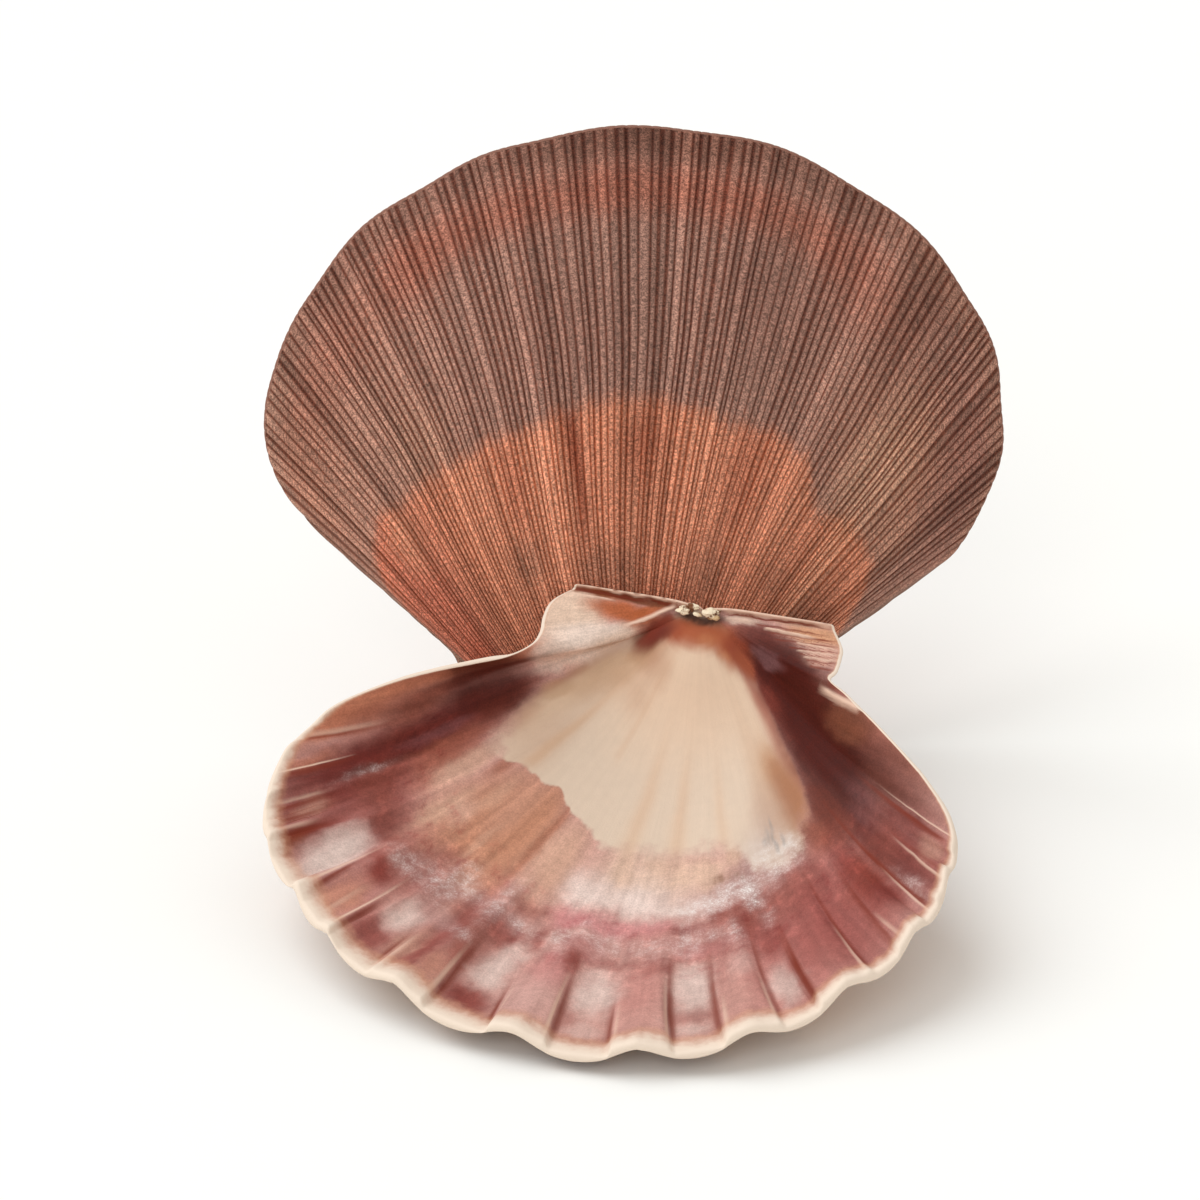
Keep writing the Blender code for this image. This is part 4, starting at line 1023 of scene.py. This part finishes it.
def inside_material(name, rim_colour):
    """Smooth inside: washes, a cream heart, radial lines, frosted clouds and a pale rim."""
    shade = Shade(name)
    place = shade.add("ShaderNodeTexCoord", output="Object")
    fan = shade.attribute("fan")
    dark, light, cloud = shade.parts(shade.attribute("marks"))
    dark_aside, light_aside, _ = shade.parts(shade.attribute("aside"))
    grain = shade.noise(place, 3400.0, 2.0, 0.6)
    mottle = shade.noise(place, 600.0, 3.0, 0.6)
    streak = shade.noise(fan, (0.6, 3.0, 0.0))
    hair = shade.noise(fan, (2.5, 9.0, 0.0))
    field = banded_field(shade, fan, streak, hair, mottle, grain)
    heart = shade.varied(shade.attribute("heart_wash", "Color"), streak, 0.05)
    heart = shade.varied(heart, mottle, 0.05)
    edge = shade.shifted(shade.attribute("heart", "Fac"), mottle, 1.2)
    colour = shade.mix(shade.ease(-1.0, 1.0, edge), field, heart)

    haze = shade.ease(0.3, 0.7, mottle)
    specks = shade.times(shade.ease(0.45, 0.65, grain), haze)
    frosted = shade.math("MULTIPLY_ADD", specks, 0.8, shade.math("MULTIPLY_ADD", haze, 0.4, 0.2))
    frosted = shade.math("MINIMUM", shade.times(frosted, cloud), 0.95)
    colour = shade.mix(frosted, colour, tint(CLOUD))
    # on the lying valve: dark lines, painted shade on the hinge plate, and light lines, painted highlights
    # on the ridges
    colour = shade.mix(shade.mark(dark, dark_aside, 2.1, hair), colour, tint(DARK_LINE))
    colour = shade.mix(shade.mark(light, light_aside, 2.2, hair), colour, tint(LIGHT_LINE))
    lip = shade.shifted(shade.shifted(shade.attribute("lip", "Fac"), streak, 0.6), mottle, 0.9)
    colour = shade.mix(shade.times(shade.ease(-1.1, -0.2, lip), 0.5), colour, tint(LIP_TAN))
    colour = shade.mix(shade.ease(-0.6, 0.7, lip), colour, tint(rim_colour))
    roughness = shade.math("MULTIPLY_ADD", mottle, 0.2, 0.45)
    return shade.finish(colour, roughness, shade.bump(grain, 0.00003, shade.bump(hair, 0.00003)), 0.12)


def outside_material(name):
    """Matt outside: sharp riblets that are pale on top and dark between, with a fine scaly grain."""
    shade = Shade(name)
    place = shade.add("ShaderNodeTexCoord", output="Object")
    fan = shade.attribute("fan")
    riblet = shade.parts(fan)[2]
    each = shade.add("ShaderNodeTexWhiteNoise", {"W": shade.math("FLOOR", riblet)}, noise_dimensions="1D")
    scale = shade.noise(fan, (0.3, 240.0, 2.0), 2.0, 0.6)
    length = shade.noise(fan, (0.0, 5.0, 1.0))
    fold = shade.noise(fan, (0.3, 1.5, 0.0), 3.0, 0.6)
    grain = shade.noise(place, 4200.0, 2.0, 0.6)

    ridge = shade.varied(shade.attribute("wash", "Color"), each, 0.17)
    ridge = shade.varied(ridge, length, 0.3)
    ridge = shade.varied(ridge, fold, 0.14, 0.3)
    ridge = shade.varied(ridge, scale, 0.28, 0.35)
    ridge = shade.varied(ridge, grain, 0.4, 0.38)
    # grooves darker than the ridges: partly their own colour and partly painted shade
    groove = shade.mix(shade.attribute("heart", "Fac"), shade.stretched(ridge, GROOVE_SHARE),
                       shade.stretched(ridge, ORANGE_GROOVE_SHARE))
    from_middle = shade.math("ABSOLUTE", shade.math("SUBTRACT", shade.math("FRACT", riblet), 0.5))
    aside = shade.shifted(shade.shifted(shade.times(from_middle, 2.0), scale, 0.5), grain, 0.5)
    start = shade.math("MULTIPLY_ADD", each, 0.4, 0.22)
    between = shade.ease(start, shade.math("ADD", start, 0.5), aside)
    colour = shade.mix(shade.times(between, shade.attribute("ribbed", "Fac")), ridge, groove)
    roughness = shade.math("MULTIPLY_ADD", grain, 0.2, 0.55)
    return shade.finish(colour, roughness, shade.bump(scale, 0.00014, shade.bump(grain, 0.0001)), 0.1)


def ligament_material(name):
    """Dry cream flakes, brown in the cracks."""
    shade = Shade(name)
    place = shade.add("ShaderNodeTexCoord", output="Object")
    flake = shade.noise(place, 700.0, 4.0, 0.65)
    stain = shade.noise(place, 500.0)
    colour = shade.mix(shade.ease(0.42, 0.5, flake), tint("7a4a28"), tint("f0dfc2"))
    colour = shade.mix(shade.times(shade.ease(0.55, 0.7, stain), 0.8), colour, tint("c19a66"))
    return shade.finish(colour, 0.7, shade.bump(flake, 0.0002))


# ---- valves
LYING["drift"] = lying_drift
STANDING["drift"] = standing_drift
lying = valve_sheets(LYING, outer_rows=38, inner_rows=96, shares=(0.0, 0.18, 0.4, 0.6, 0.82),
                     riblet_depth=0.2, channels=LYING_CHANNELS, seed=11)
standing = valve_sheets(STANDING, outer_rows=66, inner_rows=30, shares=(0.0, 0.14, 0.32, 0.5, 0.68, 0.86),
                        riblet_depth=0.26, channels=[], seed=7)
outside = outside_material("riblets")
lying_underside = paint_outside(lying, LYING_OUTSIDE_EDGE, LYING_OUTSIDE_PATCHES, LYING_OUTSIDE_LOW_PATCHES)
lying_piece = add_valve("lying_shell", lying, LYING, outside, inside_material("pearl_rim", RIM_CREAM),
                        lying_underside, paint_lying_inside(lying))
standing_front = paint_outside(standing, ORANGE_EDGE, STANDING_PATCHES, STANDING_LOW_PATCHES, STANDING_FOLDS)
standing_piece = add_valve("standing_shell", standing, STANDING, outside,
                           inside_material("brown_rim", BORDER_BROWN),
                           standing_front, paint_standing_inside(standing))
crumb_points, crumb_faces = ligament(np.random.default_rng(3))
ligament_piece = add_mesh("ligament_crumbs", placed(crumb_points, LYING), crumb_faces,
                          [ligament_material("dry_flakes")], 40.0)
add_bake_map(lying_piece.data, lying, "inside")
add_bake_map(standing_piece.data, standing, "outside")
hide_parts("ligament")
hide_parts("lying_valve")
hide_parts("standing_valve")
for piece, slot in ((lying_piece, "inner_shell"), (standing_piece, "outer_shell"),
                    (ligament_piece, "dried_ligament")):
    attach(piece, "root")

# ---- floor, light and camera
bpy.ops.mesh.primitive_plane_add(size=8.0)
floor = bpy.context.object
floor.name = "floor"
floor_shade = Shade("floor_white")
floor_shade.surface["Base Color"].default_value = tint("f8f8f5")
floor_shade.surface["Roughness"].default_value = 0.6
floor.data.materials.append(floor_shade.material)

world = bpy.data.worlds.new("studio")
bpy.context.scene.world = world
world.use_nodes = True
world.node_tree.nodes["Background"].inputs["Color"].default_value = (1.0, 0.97, 0.93, 1.0)
world.node_tree.nodes["Background"].inputs["Strength"].default_value = 0.66

for name, energy, colour, width, direction in (
        ("key", 1.5, (0.96, 1.0, 1.04), 55.0, (0.62, -0.22, -1.0)),
        ("fill", 0.5, (1.0, 1.0, 1.0), 35.0, (0.3, 1.0, -0.7))):
    light = bpy.data.lights.new(name, "SUN")
    light.energy = energy
    light.color = colour
    light.angle = np.radians(width)
    add_object(name, light).rotation_euler = Vector(direction).to_track_quat("-Z", "Y").to_euler()

AIM = Vector((-MIDDLE[0] * MM, -MIDDLE[1] * MM, 0.042))
ELEVATION = np.radians(25.0)
DISTANCE = 0.817    # metres
camera = bpy.data.cameras.new("camera")
camera.lens = 150.0
camera.sensor_width = 36.0
camera.clip_end = 50.0
camera_object = add_object("camera", camera)
camera_object.location = AIM + Vector((0.0, -np.cos(ELEVATION), np.sin(ELEVATION))) * DISTANCE
camera_object.rotation_euler = (AIM - camera_object.location).to_track_quat("-Z", "Y").to_euler()
bpy.context.scene.camera = camera_object
bpy.context.scene.view_settings.view_transform = "Standard"
